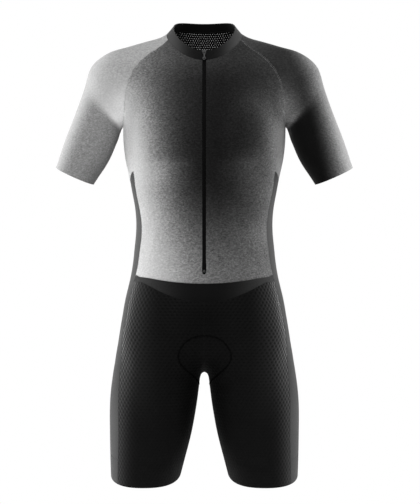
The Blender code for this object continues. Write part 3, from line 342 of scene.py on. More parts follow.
RIDGE_SHARE, RIDGE_PLACE, RIDGE_WIDTH = 0.34, 1.9, 0.75     # the low ridge along each side of a trough
points = np.array([vertex.co[:] for vertex in skin_bm.verts])
ways = np.array([vertex.normal[:] for vertex in skin_bm.verts])
lift = np.zeros(len(points))
for facing, depth, half_width, line in TROUGHS:
    path = [on_skin(facing, *place) for place in curved(line)]
    path = np.array([place[:] for place in path if place is not None])
    apart = np.linalg.norm(points[:, None] - path[None], axis=-1)
    ending = np.sin(np.pi * np.clip(apart.argmin(axis=1) / (len(path) - 1), 0.04, 0.96)) ** 0.7
    off = apart.min(axis=1) / half_width
    same_side = (ways[:, 1] * facing > -0.35).astype(float)
    ridge = RIDGE_SHARE * np.exp(-((off - RIDGE_PLACE) / RIDGE_WIDTH) ** 2)
    lift += depth * ending * same_side * (-np.exp(-off**2) + ridge)
sewn_points = {vertex.index for edge in skin_bm.edges
               if len({face.material_index for face in edge.link_faces}) > 1 for vertex in edge.verts}
for index in sewn_points:
    lift[index] -= SEAM_DIP
for vertex, place in zip(skin_bm.verts, points + lift[:, None] * ways):
    vertex.co = place
skin_bm.normal_update()
shape_of_skin = BVHTree.FromBMesh(skin_bm)


# ------------------------ front of the trunk
# One front of brushed, heathered knit with a slot for the zip, printed in a fade that is light on the
# wearer's right and at the waist and nearly black across the left of the chest; painted shade darkens the
# left of the chest further and a painted highlight lightens the cloth just below the chest. Its cut edges
# are flat-sewn to the sleeves, side panels and collar, and turned in beside the zip.
KNIT_WALL = 0.0011


def node(tree, kind, *inputs, **settings):
    """Add a shader node, set its values and join what feeds it; gives its first output."""
    made = tree.nodes.new("ShaderNode" + kind)
    for key, value in settings.items():
        setattr(made, key, value)
    for socket, value in zip(made.inputs, inputs):
        if isinstance(value, bpy.types.NodeSocket):
            tree.links.new(value, socket)
        elif value is not None:
            socket.default_value = value
    return made.outputs[0]


def math_node(tree, operation, *inputs):
    """One step of arithmetic on values."""
    return node(tree, "Math", *inputs, operation=operation)


def product(tree, first, *others):
    """Values multiplied together."""
    for other in others:
        first = math_node(tree, "MULTIPLY", first, other)
    return first


def total(tree, first, *others):
    """Values added together."""
    for other in others:
        first = math_node(tree, "ADD", first, other)
    return first


def blend(tree, share, plain, full):
    """One value where the share is 0, the other where it is 1."""
    return node(tree, "Mix", share, None, plain, full)


def ramp(tree, value, low, high, at_low=0.0, at_high=1.0):
    """Straight step of a value from one level to another."""
    return node(tree, "MapRange", value, low, high, at_low, at_high)


def fade(tree, value, low, high, at_low=0.0, at_high=1.0):
    """Smooth step of a value from one level to another."""
    return node(tree, "MapRange", value, low, high, at_low, at_high, interpolation_type="SMOOTHSTEP")


def stretch_of(tree, value, start, full, end, gone):
    """1 along a stretch of a value, rising to it before and falling away after it."""
    return product(tree, fade(tree, value, start, full), fade(tree, value, end, gone, 1.0, 0.0))


def near(tree, value, middle, inner, outer):
    """1 up to an inner distance from a middle, falling to 0 at an outer one."""
    apart = math_node(tree, "ABSOLUTE", math_node(tree, "SUBTRACT", value, middle))
    return fade(tree, apart, inner, outer, 1.0, 0.0)


def finish(name, roughness, sheen=0.0, specular=0.3, metallic=0.0):
    """A new material: its node tree, shader and material."""
    made = bpy.data.materials.new(name)
    made.use_nodes = True
    shader = made.node_tree.nodes["Principled BSDF"]
    shader.inputs["Roughness"].default_value = roughness
    shader.inputs["Specular IOR Level"].default_value = specular
    shader.inputs["Sheen Weight"].default_value = sheen
    shader.inputs["Sheen Roughness"].default_value = 0.35
    shader.inputs["Metallic"].default_value = metallic
    return made.node_tree, shader, made


def dyed(name, colour, roughness, sheen, specular):
    """A new material of one even colour."""
    _, shader, made = finish(name, roughness, sheen, specular)
    shader.inputs["Base Color"].default_value = (*colour, 1.0)
    return made


def axes_of(tree):
    """The piece's own coordinates, and their X, Y and Z."""
    own = tree.nodes.new("ShaderNodeTexCoord").outputs["Object"]
    split = tree.nodes.new("ShaderNodeSeparateXYZ")
    tree.links.new(own, split.inputs[0])
    return own, *split.outputs


def speckle(tree, place, stretch, size, detail=2.0):
    """Noise of a given grain, drawn out along an axis, from 0 to 1."""
    mapped = node(tree, "Mapping", place, None, None, stretch)
    made = tree.nodes.new("ShaderNodeTexNoise")
    tree.links.new(mapped, made.inputs["Vector"])
    made.inputs["Scale"].default_value = 1.0 / size
    made.inputs["Detail"].default_value = detail
    made.inputs["Roughness"].default_value = 0.6
    return made.outputs[0]


def spread(tree, noise, low, high):
    """A noise, which lies mostly between 0.3 and 0.7, stretched over a range."""
    return ramp(tree, noise, 0.3, 0.7, low, high)


def grey(tree, tone, shader):
    """Feed a tone, given as it looks on a printed grey scale, to the shader."""
    linear = math_node(tree, "POWER", tone, 2.2)
    tree.links.new(node(tree, "CombineColor", linear, linear, linear), shader.inputs["Base Color"])


def relief(tree, shader, height, distance, strength=1.0):
    """Fine relief of the cloth, from a height between 0 and 1."""
    bump = tree.nodes.new("ShaderNodeBump")
    bump.inputs["Strength"].default_value = strength
    bump.inputs["Distance"].default_value = distance
    tree.links.new(height, bump.inputs["Height"])
    tree.links.new(bump.outputs[0], shader.inputs["Normal"])


def changed(tree, tone, where, by):
    """A tone made lighter or darker, by a share of itself, where a mask is 1."""
    return product(tree, tone, math_node(tree, "MULTIPLY_ADD", where, by, 1.0))


def heather(tree, shader, place, tone, amount=0.34):
    """Mottle a tone, printed and with any painted light and shade, with the two yarns of the knit, and raise
    the knit's loops.
    """
    coarse = speckle(tree, place, (0.7, 0.8, 1.1), 0.0030, 3.0)
    fine = speckle(tree, place, (0.6, 0.7, 1.1), 0.0013, 1.0)
    mottle = total(tree, product(tree, coarse, 0.65), product(tree, fine, 0.35))
    wide = fade(tree, tone, 0.40, 0.85, amount, 0.25 * amount)
    grey(tree, changed(tree, tone, spread(tree, mottle, -1.0, 1.0), wide), shader)
    relief(tree, shader, mottle, 0.00035, 0.8)


def object_of(name, bm, *materials):
    """Close a bmesh into a named object that rides on the suit."""
    mesh = bpy.data.meshes.new(name)
    bm.to_mesh(mesh)
    bm.free()
    mesh.polygons.foreach_set("use_smooth", [True] * len(mesh.polygons))
    for material in materials:
        mesh.materials.append(material)
    made = bpy.data.objects.new(name, mesh)
    bpy.context.scene.collection.objects.link(made)
    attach(made, "suit")
    return made


def cut_out(piece, wall, *materials):
    """Cut one piece out of the skin and give it the knit's thickness, inwards."""
    bm = skin_bm.copy()
    number = CLOTH.index(piece)
    bmesh.ops.delete(bm, geom=[face for face in bm.faces if face.material_index != number], context="FACES")
    for face in bm.faces:
        face.material_index = 0
    for edge in bm.edges:
        edge.smooth = not edge.is_boundary
    made = object_of(piece + "_knit", bm, *materials)
    solid = made.modifiers.new("wall", "SOLIDIFY")
    solid.thickness = wall
    solid.offset = -1.0
    solid.material_offset = len(materials) - 1
    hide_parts(piece)
    return made


sewn_edges = {}
for edge in skin_bm.edges:
    sewn_edges.setdefault(frozenset(face.material_index for face in edge.link_faces), []).append(edge)


def chained(edges):
    """Lines of points from edges that join end to end."""
    joined = {}
    for edge in edges:
        for vertex in edge.verts:
            joined.setdefault(vertex, []).append(edge)
    lines, used = [], set()
    for start in sorted(joined, key=lambda vertex: (len(joined[vertex]), vertex.index)):
        line, vertex = [start], start
        while True:
            onward = [edge for edge in joined[vertex] if edge not in used]
            if not onward:
                break
            used.add(onward[0])
            vertex = onward[0].other_vert(vertex)
            line.append(vertex)
        if len(line) > 1:
            lines.append([vertex.co[:] for vertex in line])
    return lines


def seam_between(*pieces):
    """Lines of skin points where two pieces are sewn together, each from one end to the other."""
    return chained(sewn_edges.get(frozenset(CLOTH.index(piece) for piece in pieces), []))


def seams_to(piece, *others):
    """Lines of skin points where a piece is sewn to several others."""
    return [line for other in others for line in seam_between(piece, other)]


def beads(name, places, material, around=5, rings=3):
    """One object of many small round beads, each set and shaped by its own matrix."""
    strung, few = bmesh.new(), bmesh.new()
    held = bpy.data.meshes.new(name + "_few")
    for count, place in enumerate(places, 1):
        bmesh.ops.create_uvsphere(few, u_segments=around, v_segments=rings, radius=1.0, matrix=place)
        if count % 50 == 0 or count == len(places):
            few.to_mesh(held)
            strung.from_mesh(held)
            few.clear()
    few.free()
    bpy.data.meshes.remove(held)
    return object_of(name, strung, material)


def spaced(line, step):
    """Points a step apart along a line of points."""
    line = np.array(line, float)
    run = run_along(line)
    at = np.linspace(0.0, run[-1], max(2, int(round(run[-1] / step)) + 1))
    return np.stack([np.interp(at, run, line[:, k]) for k in range(line.shape[1])], -1)


def stitches(name, lines, material, rows=(-0.0011, 0.0011), pitch=0.0026, lift=0.00006, thick=0.00019):
    """Rows of thread laid along lines on the skin, one flattened bead to a stitch."""
    bead = Matrix.Diagonal((0.41 * pitch, thick, 0.8 * thick, 1.0))
    places = []
    for line in lines:
        run = spaced(line, pitch)
        for here, beyond in zip(run[:-1], run[1:]):
            middle, along = Vector((here + beyond) / 2), Vector(beyond - here).normalized()
            _, way, _, _ = shape_of_skin.find_nearest(middle)
            across = way.cross(along).normalized()
            for row in rows:
                foot, out, _, _ = shape_of_skin.find_nearest(middle + row * across)
                up = (out - along * out.dot(along)).normalized()
                turn = Matrix((along, up.cross(along), up)).transposed().to_4x4()
                places.append(Matrix.Translation(foot + lift * up) @ turn @ bead)
    return beads(name, places, material)


tree, shader, front_print_and_shade = finish("front_print_and_shade", 0.85, 0.12, 0.10)
place, x, _, z = axes_of(tree)
from_middle = math_node(tree, "ABSOLUTE", x)
# the light side reaches further in towards the waist, and fades most slowly near the neck
middle_of_fade = ramp(tree, z, -0.48, -0.10, -0.042, -0.112)
softness = fade(tree, z, -0.26, -0.06, 0.048, 0.078)
from_fade = math_node(tree, "DIVIDE", math_node(tree, "SUBTRACT", x, middle_of_fade), softness)
dark_share = math_node(tree, "MULTIPLY_ADD", math_node(tree, "TANH", from_fade), 0.5, 0.5)
# the light side is lightest beside the arm
right_edge = product(tree, stretch_of(tree, z, -0.34, -0.27, -0.13, -0.08),
                     fade(tree, x, -0.152, -0.080, 0.18, 0.0))
light = total(tree, fade(tree, z, -0.19, -0.06, 0.82, 0.68), right_edge)
# the dark side is lighter at the waist, at the neck, towards the wearer's left and below the arm
to_left = math_node(tree, "POWER", ramp(tree, x, 0.020, 0.165), 1.6)
left_side = product(tree, to_left, product(tree, fade(tree, z, -0.46, -0.36, 0.08, 0.50),
                                           fade(tree, z, -0.19, -0.06, 1.0, 0.15)))
left_edge = product(tree, stretch_of(tree, z, -0.34, -0.27, -0.21, -0.16),
                    fade(tree, x, 0.118, 0.158, 0.0, 0.26))
dark = total(tree, fade(tree, z, -0.49, -0.28, 0.39, 0.10), fade(tree, z, -0.12, -0.05, 0.0, 0.08),
             left_side, left_edge)
# and darker again: painted shade over the left of the chest, and a darker band just above the waist
painted_chest_shade = product(tree, near(tree, x, 0.085, 0.010, 0.045), near(tree, z, -0.205, 0.015, 0.060))
above_waist = product(tree, near(tree, z, -0.360, 0.008, 0.045), fade(tree, x, 0.040, 0.090))
dark = changed(tree, changed(tree, dark, painted_chest_shade, -0.28), above_waist, -0.15)
# painted highlight: just below the chest, where the cloth turns up to the light, the tone is made lighter
under_chest_highlight = product(tree, stretch_of(tree, z, -0.325, -0.285, -0.268, -0.250),
                      stretch_of(tree, from_middle, 0.012, 0.035, 0.075, 0.115))
tone = changed(tree, blend(tree, dark_share, light, dark), under_chest_highlight, 0.20)
heather(tree, shader, place, tone)
knit_inside = dyed("knit_inside", (0.035, 0.035, 0.037), 0.85, 0.2, 0.15)

front_knit = cut_out("front_panel", KNIT_WALL, front_print_and_shade, knit_inside)

grey_thread = dyed("grey_thread", (0.30, 0.30, 0.30), 0.7, 0.2, 0.2)
black_thread = dyed("black_thread", (0.002, 0.002, 0.002), 0.9, 0.0, 0.0)
raglan_thread = stitches("raglan_stitches", seams_to("front_panel", "sleeve_left", "sleeve_right"),
                         grey_thread, pitch=0.0019, thick=0.00026)


# ------------------------ back of the trunk
# The whole back is black open mesh: a warp knit with small round holes set in a honeycomb, which are
# painted here and not cut: dark outside, for the shade within that shows through them, and pale inside,
# for the daylight that shines through them. Its edges are flat-sewn like the front's.
HOLE_PITCH = 0.0048
# half width and half depth of the trunk and of a thigh that the knit's map goes round
TRUNK_ROUND = (0.160, 0.100)
THIGH_ROUND = (0.080, 0.088)


def honeycomb(tree, pitch, stretch=1.0):
    """Height of a honeycomb of round spots on the piece's own knit map, from about -0.5 to 1."""
    uv = node(tree, "UVMap", uv_map="knit")
    wave = 4.0 * math.pi / (math.sqrt(3.0) * pitch)
    ripples = []
    for turn in (math.pi / 2, math.pi / 6, -math.pi / 6):
        across = tree.nodes.new("ShaderNodeVectorMath")
        across.operation = "DOT_PRODUCT"
        tree.links.new(uv, across.inputs[0])
        across.inputs[1].default_value = (wave * math.cos(turn) / stretch, wave * math.sin(turn), 0.0)
        ripples.append(math_node(tree, "COSINE", across.outputs["Value"]))
    return math_node(tree, "DIVIDE", total(tree, *ripples), 3.0)


def round_arc(across, deep, half_width, half_depth):
    """Distance round an ellipse from its front or back to a place on it."""
    fine = np.linspace(-math.pi, math.pi, 721)
    pace = np.hypot(half_width * np.cos(fine), half_depth * np.sin(fine))
    run = np.cumsum(pace) * (fine[1] - fine[0])
    run -= np.interp(0.0, fine, run)
    return np.interp(np.arctan2(across / half_width, deep / half_depth), fine, run)


def knit_map(made, facing, side=0.0):
    """Lay the knit flat as the piece's own map: distance round the trunk or thigh, and height. A piece
    of one side is given that side, and one that crosses the middle is laid out to both."""
    mesh = made.data
    co = np.array([vertex.co[:] for vertex in mesh.vertices])
    out, deep = np.abs(co[:, 0]), facing * co[:, 1]
    below_neck = ease((-0.07 - co[:, 2]) / 0.12)
    round_trunk = (1 - below_neck) * out + below_neck * round_arc(out, deep, *TRUNK_ROUND)
    leg_middle = np.interp(co[:, 2], (-0.88, -0.50), (0.112, 0.080))      # further out lower down
    round_leg = leg_middle + round_arc(out - leg_middle, deep, *THIGH_ROUND)
    to_leg = ease((-0.56 - co[:, 2]) / 0.12)
    around = (1 - to_leg) * round_trunk + to_leg * round_leg
    flat = np.stack([around * (side or np.sign(co[:, 0])), co[:, 2]], -1)
    layer = mesh.uv_layers.new(name="knit")
    corner = np.zeros(len(mesh.loops), int)
    mesh.loops.foreach_get("vertex_index", corner)
    layer.data.foreach_set("uv", flat[corner].ravel())


def mesh_finish(name, knit_tone, painted_hole_tone):
    """Black mesh whose pinholes are painted in a tone of their own, not cut: painted shade where they show
    the dark within, painted light where daylight shines through them.
    """
    tree, shader, made = finish(name, 0.8, 0.06, 0.08)
    spots = honeycomb(tree, HOLE_PITCH)
    yarn = speckle(tree, axes_of(tree)[0], (1.0, 1.0, 0.6), 0.0009, 1.0)
    base = spread(tree, yarn, 0.8 * knit_tone, 1.2 * knit_tone)
    grey(tree, blend(tree, fade(tree, spots, 0.52, 0.80), base, painted_hole_tone), shader)
    relief(tree, shader, fade(tree, spots, 0.2, 0.9, 1.0, 0.0), 0.0006)
    return made


# painted shade and light: the holes are painted black outside, where the dark within shows through them, and
# pale inside, where daylight shines through them
back_mesh = cut_out("back_panel", KNIT_WALL, mesh_finish("open_mesh", 0.09, 0.015),
                    mesh_finish("open_mesh_inside", 0.035, 0.74))
knit_map(back_mesh, 1)
back_seams = seams_to("back_panel", "sleeve_left", "sleeve_right", "front_panel")
back_thread = stitches("back_stitches", back_seams, black_thread)


# ------------------------ sleeves
# Two raglan sleeves of the same heathered knit, each one piece sewn into a tube under the arm. The
# wearer's right is printed light and the left dark; both turn darker below the armpit, in print and painted
# shade, and lighter along the outside of the arm, in print and painted rim light. The cuffs are cut clean
# and bonded.
# a line inside the arm, above the seam under it: distance out and height of its start, how far it runs
# on, and the way from it to the seam
IN_ARM, IN_ARM_RUN, TO_SEAM = (0.1977, -0.177), (0.052, -0.112), (-1.0, -0.45)


def sleeve_print_and_light(name, shoulder, crest, raglan, arm, under, outside, rim):
    """Knit of a sleeve, printed and with painted light and shade, from its tones: on the shoulder and its
    crest, beside the raglan seam above the armpit, along the arm, below the armpit and outside. Below the
    armpit the tone is print with painted shade, outside it is print with painted rim light, and on the dark
    sleeve the lighter crest is a painted highlight. The rim is how far from the middle of the arm the
    outside begins, at the cuff and 0.2 m up, and how far on it has its full tone."""
    tree, shader, made = finish(name, 0.85, 0.12, 0.10)
    place, x, _, z = axes_of(tree)
    sine, cosine = math.sin(ARM_LEAN), math.cos(ARM_LEAN)
    out = math_node(tree, "SUBTRACT", math_node(tree, "ABSOLUTE", x), CUFF_PLACE[0])
    up = math_node(tree, "SUBTRACT", z, CUFF_PLACE[1])
    across = total(tree, product(tree, out, cosine), product(tree, up, sine))
    along = math_node(tree, "SUBTRACT", product(tree, up, cosine), product(tree, out, sine))
    # the line from the armpit up the arm, sharp at the armpit and softer further out
    edge = math_node(tree, "SUBTRACT", math_node(tree, "MULTIPLY_ADD", across, -0.38, along), 0.140)
    soft = math_node(tree, "MAXIMUM", math_node(tree, "MULTIPLY_ADD", across, 0.12, 0.0105), 0.003)
    upper = fade(tree, math_node(tree, "DIVIDE", edge, soft), -1.0, 1.0)
    above = blend(tree, fade(tree, along, 0.160, 0.235), fade(tree, across, -0.050, 0.012, raglan, arm),
                  fade(tree, along, 0.260, 0.325, shoulder, crest))
    start = ramp(tree, along, 0.0, 0.20, rim[0], rim[1])
    share = fade(tree, math_node(tree, "SUBTRACT", across, start), 0.0, rim[2])
    heather(tree, shader, place, blend(tree, share, blend(tree, upper, under, above), outside), 0.26)
    return made


# painted highlight: the dark sleeve's crest is lighter than its shoulder, where light from above falls on it
left_print_and_light = sleeve_print_and_light("left_sleeve_print", shoulder=0.19, crest=0.266, raglan=0.50, arm=0.21,
                          under=0.075, outside=0.75, rim=(-0.030, 0.008, 0.068))
right_print_and_light = sleeve_print_and_light("right_sleeve_print", shoulder=0.64, crest=0.64, raglan=1.0, arm=0.76,
                           under=0.56, outside=0.77, rim=(0.004, 0.014, 0.042))
for hand, side, sleeve_knit, sleeve_slot, sleeve_thread in (
        ("left", 1.0, left_print_and_light, "dark_sleeve_knit", black_thread),
        ("right", -1.0, right_print_and_light, "light_sleeve_knit", grey_thread)):
    sleeve = cut_out(f"sleeve_{hand}", KNIT_WALL, sleeve_knit, knit_inside)
    under = []
    for share in np.linspace(0.02, 0.98, 20):
        inside = Vector((side * (IN_ARM[0] + share * IN_ARM_RUN[0]), 0.0, IN_ARM[1] + share * IN_ARM_RUN[1]))
        met = shape_of_skin.ray_cast(inside, Vector((side * TO_SEAM[0], 0.0, TO_SEAM[1])))[0]
        if met is not None:
            under.append(met[:])
    under_thread = stitches(f"sleeve_stitches_{hand}", [under], sleeve_thread)


# ------------------------ collar
# A low stand-up band of smooth doubled knit, folded at its top edge and sewn to the neck. It is dark
# grey outside, darker towards the zip, and black inside.
COLLAR_WALL = 0.0022

tree, shader, collar_knit = finish("collar_knit", 0.7, 0.14, 0.10)
place, x, _, _ = axes_of(tree)
from_zip = fade(tree, math_node(tree, "ABSOLUTE", x), 0.006, 0.076)
grey(tree, math_node(tree, "MULTIPLY_ADD", from_zip, 0.26, 0.045), shader)
relief(tree, shader, speckle(tree, place, (1.0, 1.0, 0.4), 0.0008, 1.0), 0.0002)
collar_inside = dyed("collar_inside", (0.003, 0.003, 0.003), 0.8, 0.1, 0.08)
collar = cut_out("collar", COLLAR_WALL, collar_knit, collar_inside)
neck_seams = seams_to("collar", "front_panel", "back_panel", "sleeve_left", "sleeve_right")
neck_thread = stitches("neck_stitches", neck_seams, black_thread, rows=(-0.0012,))


# ------------------------ side panels and hem bands
# A narrow strip of smooth dark grey knit runs down each side from under the arm to the thigh, and a
# short band of the same knit finishes it at the hem. All four are flat-sewn along both edges.
BAND_WALL = 0.0013

tree, shader, side_knit = finish("side_knit", 0.66, 0.2, 0.2)
place, x, _, z = axes_of(tree)
# a little lighter above the hips and at the hems, and darker on the wearer's left: painted shade, as that
# side gets less light
down = total(tree, fade(tree, z, -0.59, -0.47, 0.18, 0.27), fade(tree, z, -0.78, -0.66, 0.05, 0.0))
to_left = ramp(tree, x, -0.15, 0.15, 1.0, 0.90)
grain = spread(tree, speckle(tree, place, (0.6, 0.6, 1.0), 0.0016), 0.93, 1.07)
grey(tree, product(tree, grain, product(tree, down, to_left)), shader)
relief(tree, shader, speckle(tree, place, (1.0, 1.0, 0.3), 0.0009, 1.0), 0.0002)
for hand in ("left", "right"):
    strip = cut_out(f"side_panel_{hand}", KNIT_WALL, side_knit)
    strip_seams = seams_to(f"side_panel_{hand}", "front_panel", "back_panel", f"leg_front_{hand}",
                           f"leg_back_{hand}", "front_yoke")
    strip_thread = stitches(f"side_stitches_{hand}", strip_seams, black_thread)
    band = cut_out(f"side_band_{hand}", BAND_WALL, side_knit)
    band_seams = seams_to(f"side_band_{hand}", f"side_panel_{hand}", f"leg_front_{hand}", f"leg_back_{hand}")
    band_thread = stitches(f"band_stitches_{hand}", band_seams, black_thread)


tree, shader, yoke_knit = finish("yoke_knit", 0.6, 0.12, 0.08)
place, x, _, _ = axes_of(tree)
grain = spread(tree, speckle(tree, place, (0.7, 0.7, 1.0), 0.0016), 0.9, 1.1)
# painted light: the black yoke is made lighter towards its sides, where the side lights fall on it
from_middle = fade(tree, math_node(tree, "ABSOLUTE", x), 0.01, 0.12, 0.042, 0.22)
grey(tree, product(tree, from_middle, grain), shader)
relief(tree, shader, speckle(tree, place, (0.35, 1.0, 1.0), 0.0009, 1.0), 0.0002)
yoke = cut_out("front_yoke", KNIT_WALL, yoke_knit)
shorts_thread = dyed("shorts_thread", (0.014, 0.014, 0.014), 0.8, 0.05, 0.10)
yoke_seams = seams_to("front_yoke", "front_panel", "leg_front_left", "leg_front_right")
yoke_thread = stitches("yoke_stitches", yoke_seams, shorts_thread)


# ------------------------ legs of the shorts
# Four pieces of firm black knit whose face is a honeycomb of small raised cells, sewn together down
# the middle and the insides of the thighs. The hems are cut clean and gripped from inside.
LEG_FRONT_CUT = (0.220, 0.400, 0.0680)
LEG_BACK_CUT = (0.230, 0.410, 0.0700)
CELL_PITCH = 0.0070
CELL_STRETCH = 1.15           # the leg draws the cells out round the thigh

# the seams that are stitched with each piece
LEG_SEAMS = {
    "leg_front_left": (("leg_front_left", "leg_front_right"), ("leg_front_left", "leg_back_left")),
    "leg_back_left": (("leg_back_left", "leg_back_right"), ("back_panel", "leg_back_left"),
                      ("back_panel", "leg_back_right")),
    "leg_front_right": (("leg_front_right", "leg_back_right"),),
    "leg_back_right": ()}

tree, shader, leg_knit = finish("leg_knit", 0.6, 0.0, 0.06)
_, x, _, z = axes_of(tree)
outward = math_node(tree, "ABSOLUTE", x)
# the cells stand out less towards the hem
cells = fade(tree, honeycomb(tree, CELL_PITCH, CELL_STRETCH), -0.30, 0.80, 1.0, 0.0)
clear = fade(tree, z, -0.84, -0.62, 0.4, 1.0)
cells = math_node(tree, "MULTIPLY_ADD", math_node(tree, "SUBTRACT", cells, 0.5), clear, 0.5)
# painted sheen: the sheen is strongest on the outside of the thigh, where the side lights fall, fades out
# between the legs, and varies a little with the cells
nap_and_sheen = product(tree, ramp(tree, outward, 0.070, 0.150, 0.02, 1.0),
              fade(tree, outward, 0.158, 0.180, 1.0, 0.55), ramp(tree, cells, 0.0, 1.0, 0.82, 1.12))
tree.links.new(nap_and_sheen, shader.inputs["Sheen Weight"])
# painted shade darkens the knit between the legs, and painted light lightens it over the hips
hip = product(tree, fade(tree, outward, 0.080, 0.130), fade(tree, z, -0.80, -0.66))
shade = changed(tree, ramp(tree, outward, 0.010, 0.055, 0.80, 1.0), hip, 0.6)
grey(tree, product(tree, ramp(tree, cells, 0.0, 1.0, 0.064, 0.088), shade), shader)
relief(tree, shader, cells, 0.0005)
for hand, side in (("left", 1.0), ("right", -1.0)):
    for facing, half, cut in ((-1, "front", LEG_FRONT_CUT), (1, "back", LEG_BACK_CUT)):
        leg = cut_out(f"leg_{half}_{hand}", KNIT_WALL, leg_knit)
        knit_map(leg, facing, side)
        lines = [line for pair in LEG_SEAMS[f"leg_{half}_{hand}"] for line in seam_between(*pair)]
        threads = [stitches(f"leg_stitches_{half}_{hand}", lines, shorts_thread)] if lines else []


# ------------------------ seat pad
# A moulded pad of foam under brushed black knit, laid along the middle of the shorts from inside and
# stitched to them round its edge. The stitching shows outside as a dark line.
tree, shader, pad_cover = finish("pad_cover", 0.9, 0.4, 0.15)
nap_and_sheen = speckle(tree, axes_of(tree)[0], (1.0, 1.0, 1.0), 0.0012)
grey(tree, spread(tree, nap_and_sheen, 0.16, 0.22), shader)
relief(tree, shader, nap_and_sheen, 0.0004)
bm = bmesh.new()
bm.from_mesh(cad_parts["seat_pad"].data)
bmesh.ops.remove_doubles(bm, verts=bm.verts, dist=1e-6)
bmesh.ops.join_triangles(bm, faces=bm.faces, angle_face_threshold=math.radians(50),
                         angle_shape_threshold=math.radians(80))
pad = object_of("seat_pad_foam", bm, pad_cover)
round_off = pad.modifiers.new("rounding", "SUBSURF")
round_off.levels = round_off.render_levels = 2
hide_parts("seat_pad")
# the stitched outline: an egg shape in front, and the pad's own rim between the legs and behind
HALF_OUTLINE = ((0.0, -0.5970), (0.0205, -0.6000), (0.0360, -0.6090), (0.0475, -0.6247), (0.0512, -0.6346),
                (0.0485, -0.6480), (0.0400, -0.6600), (0.0280, -0.6725), (0.0190, -0.6820))
OUTLINE_ASIDE = 0.001           # the pad sits this far to the wearer's left
RIM_FROM = -0.03                # depth behind which the stitching follows the rim
outline = [(-out, height) for out, height in reversed(HALF_OUTLINE[1:])] + list(HALF_OUTLINE)
in_front = [on_skin(-1, out + OUTLINE_ASIDE, height)[:] for out, height in curved(outline, 60)]
rim = outer_sheet("seat_pad", 0)
rim_line = chained([edge for edge in rim.edges if edge.is_boundary])[0]
rim.free()
start = next(i for i in range(len(rim_line)) if rim_line[i - 1][1] < RIM_FROM <= rim_line[i][1])
behind = [place for place in rim_line[start:] + rim_line[:start] if place[1] > RIM_FROM]
if behind[0][0] < 0:
    behind.reverse()
behind = [shape_of_skin.find_nearest(Vector(place))[0][:] for place in behind]
pad_thread = stitches("pad_stitches", [in_front, [in_front[-1]] + behind + [in_front[0]]], black_thread,
                      rows=(-0.0008, 0.0008), pitch=0.0017, lift=0.00004, thick=0.0009)


# ------------------------ zip
# A fine nylon coil zip on black woven tapes, sewn in behind the two front edges. The coil's loops
# show as a closed row of small teeth. Its slider, pull and bottom stop are satin grey metal.
TOOTH_PITCH, TOOTH_LEAN = 0.0013, 0.28
TOOTH_ASIDE = 0.0009            # each tooth lies this far beside the middle of the coil
TOOTH_SIZE = (0.00125, 0.00022, 0.00052)

tree, shader, tape_weave = finish("tape_weave", 0.9, 0.0, 0.04)
weave = speckle(tree, axes_of(tree)[0], (1.0, 1.0, 0.5), 0.0007, 1.0)
grey(tree, spread(tree, weave, 0.05, 0.08), shader)
relief(tree, shader, weave, 0.0002)
tree, shader, coil_nylon = finish("coil_nylon", 0.6, 0.0, 0.05)
grey(tree, spread(tree, speckle(tree, axes_of(tree)[0], (1.0, 1.0, 1.0), 0.002), 0.05, 0.07), shader)
tree, shader, satin_metal = finish("satin_metal", 0.34, 0.0, 0.5, 1.0)
brushed = speckle(tree, axes_of(tree)[0], (1.0, 1.0, 0.12), 0.0004)
grey(tree, spread(tree, brushed, 0.30, 0.38), shader)
tree.links.new(spread(tree, brushed, 0.28, 0.42), shader.inputs["Roughness"])
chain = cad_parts["zip_chain"].data
coil = BVHTree.FromPolygons([vertex.co for vertex in chain.vertices],
                            [face.vertices for face in chain.polygons])
heights = [vertex.co.z for vertex in chain.vertices]
teeth = []
for height in np.arange(min(heights) + 0.001, max(heights) - 0.001, TOOTH_PITCH):
    face_of_coil = coil.ray_cast(Vector((0.0, -0.5, height)), Vector((0.0, 1.0, 0.0)))[0]
    for side in (-1.0, 1.0):
        tooth = Matrix.Rotation(side * TOOTH_LEAN, 4, "Y") @ Matrix.Diagonal((*TOOTH_SIZE, 1.0))
        teeth.append(Matrix.Translation(face_of_coil + Vector((side * TOOTH_ASIDE, -0.00002, 0.0))) @ tooth)
zip_teeth = beads("zip_coil_teeth", teeth, coil_nylon, around=6, rings=4)
for material, names in ((tape_weave, ("zip_tape_left", "zip_tape_right")), (coil_nylon, ("zip_chain",)),
                        (satin_metal, ("zip_slider", "zip_pull", "zip_stop"))):
    for name in names:
        zip_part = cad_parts[name].data
        zip_part.materials.clear()
        zip_part.materials.append(material)


# ------------------------ floor, light and camera
# A round white floor well below the suit, five soft lights round it, and a camera level with its middle.
FLOOR_HEIGHT, FLOOR_RADIUS = -1.25, 1.15

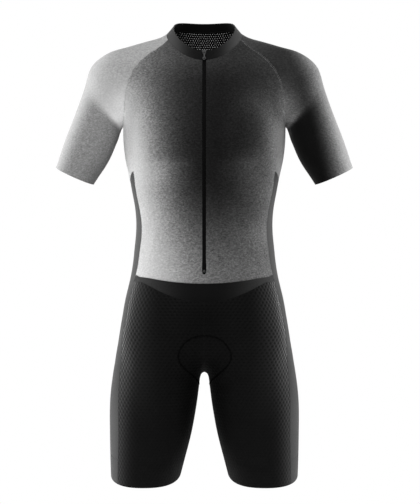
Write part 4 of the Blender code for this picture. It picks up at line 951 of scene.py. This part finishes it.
bm = bmesh.new()
bmesh.ops.create_circle(bm, cap_ends=True, radius=FLOOR_RADIUS, segments=96)
bmesh.ops.translate(bm, verts=bm.verts, vec=(0.0, 0.0, FLOOR_HEIGHT))
floor_mesh = bpy.data.meshes.new("studio_floor")
bm.to_mesh(floor_mesh)
bm.free()
floor_mesh.materials.append(dyed("floor_paint", (0.86, 0.86, 0.86), 0.9, 0.0, 0.2))
floor = bpy.data.objects.new("studio_floor", floor_mesh)
bpy.context.scene.collection.objects.link(floor)

# a white room behind everything, which itself lights the suit only a little
world = bpy.data.worlds.new("studio")
bpy.context.scene.world = world
world.use_nodes = True
tree = world.node_tree
room = tree.nodes["Background"]
room.inputs["Color"].default_value = (1.0, 1.0, 1.0, 1.0)
seen = tree.nodes.new("ShaderNodeLightPath").outputs["Is Camera Ray"]
tree.links.new(ramp(tree, seen, 0.0, 1.0, 0.09, 1.0), room.inputs["Strength"])


def soft_box(name, place, target, width, height, power):
    """A rectangular soft light, some metres wide and high, turned to a point."""
    lamp = bpy.data.lights.new(name, "AREA")
    lamp.shape = "RECTANGLE"
    lamp.size, lamp.size_y, lamp.energy = width, height, power
    held = bpy.data.objects.new(name, lamp)
    held.location = place
    held.rotation_euler = (Vector(target) - Vector(place)).to_track_quat("-Z", "Y").to_euler()
    bpy.context.scene.collection.objects.link(held)


soft_box("key_light", (-0.45, -2.7, 1.0), (0.0, 0.0, -0.38), 1.8, 1.2, 66)
soft_box("right_side_light", (-1.5, 0.40, -0.62), (0.0, 0.0, -0.60), 0.7, 2.0, 30)
soft_box("left_side_light", (1.5, 0.40, -0.62), (0.0, 0.0, -0.60), 0.7, 2.0, 25)
soft_box("back_light", (0.0, 2.4, 1.0), (0.0, 0.0, -0.4), 2.0, 1.2, 30)
soft_box("top_light", (0.0, -0.2, 1.5), (0.0, 0.0, 0.0), 1.4, 0.8, 9)

lens = bpy.data.cameras.new("camera")
lens.lens, lens.sensor_width = 85.0, 36.0
lens.clip_start, lens.clip_end = 0.05, 60.0
camera = bpy.data.objects.new("camera", lens)
camera.location = (0.0112, -2.38, -0.436)
camera.rotation_euler = (math.pi / 2, 0.0, 0.0)
bpy.context.scene.collection.objects.link(camera)
bpy.context.scene.camera = camera
bpy.context.scene.view_settings.view_transform = "Standard"
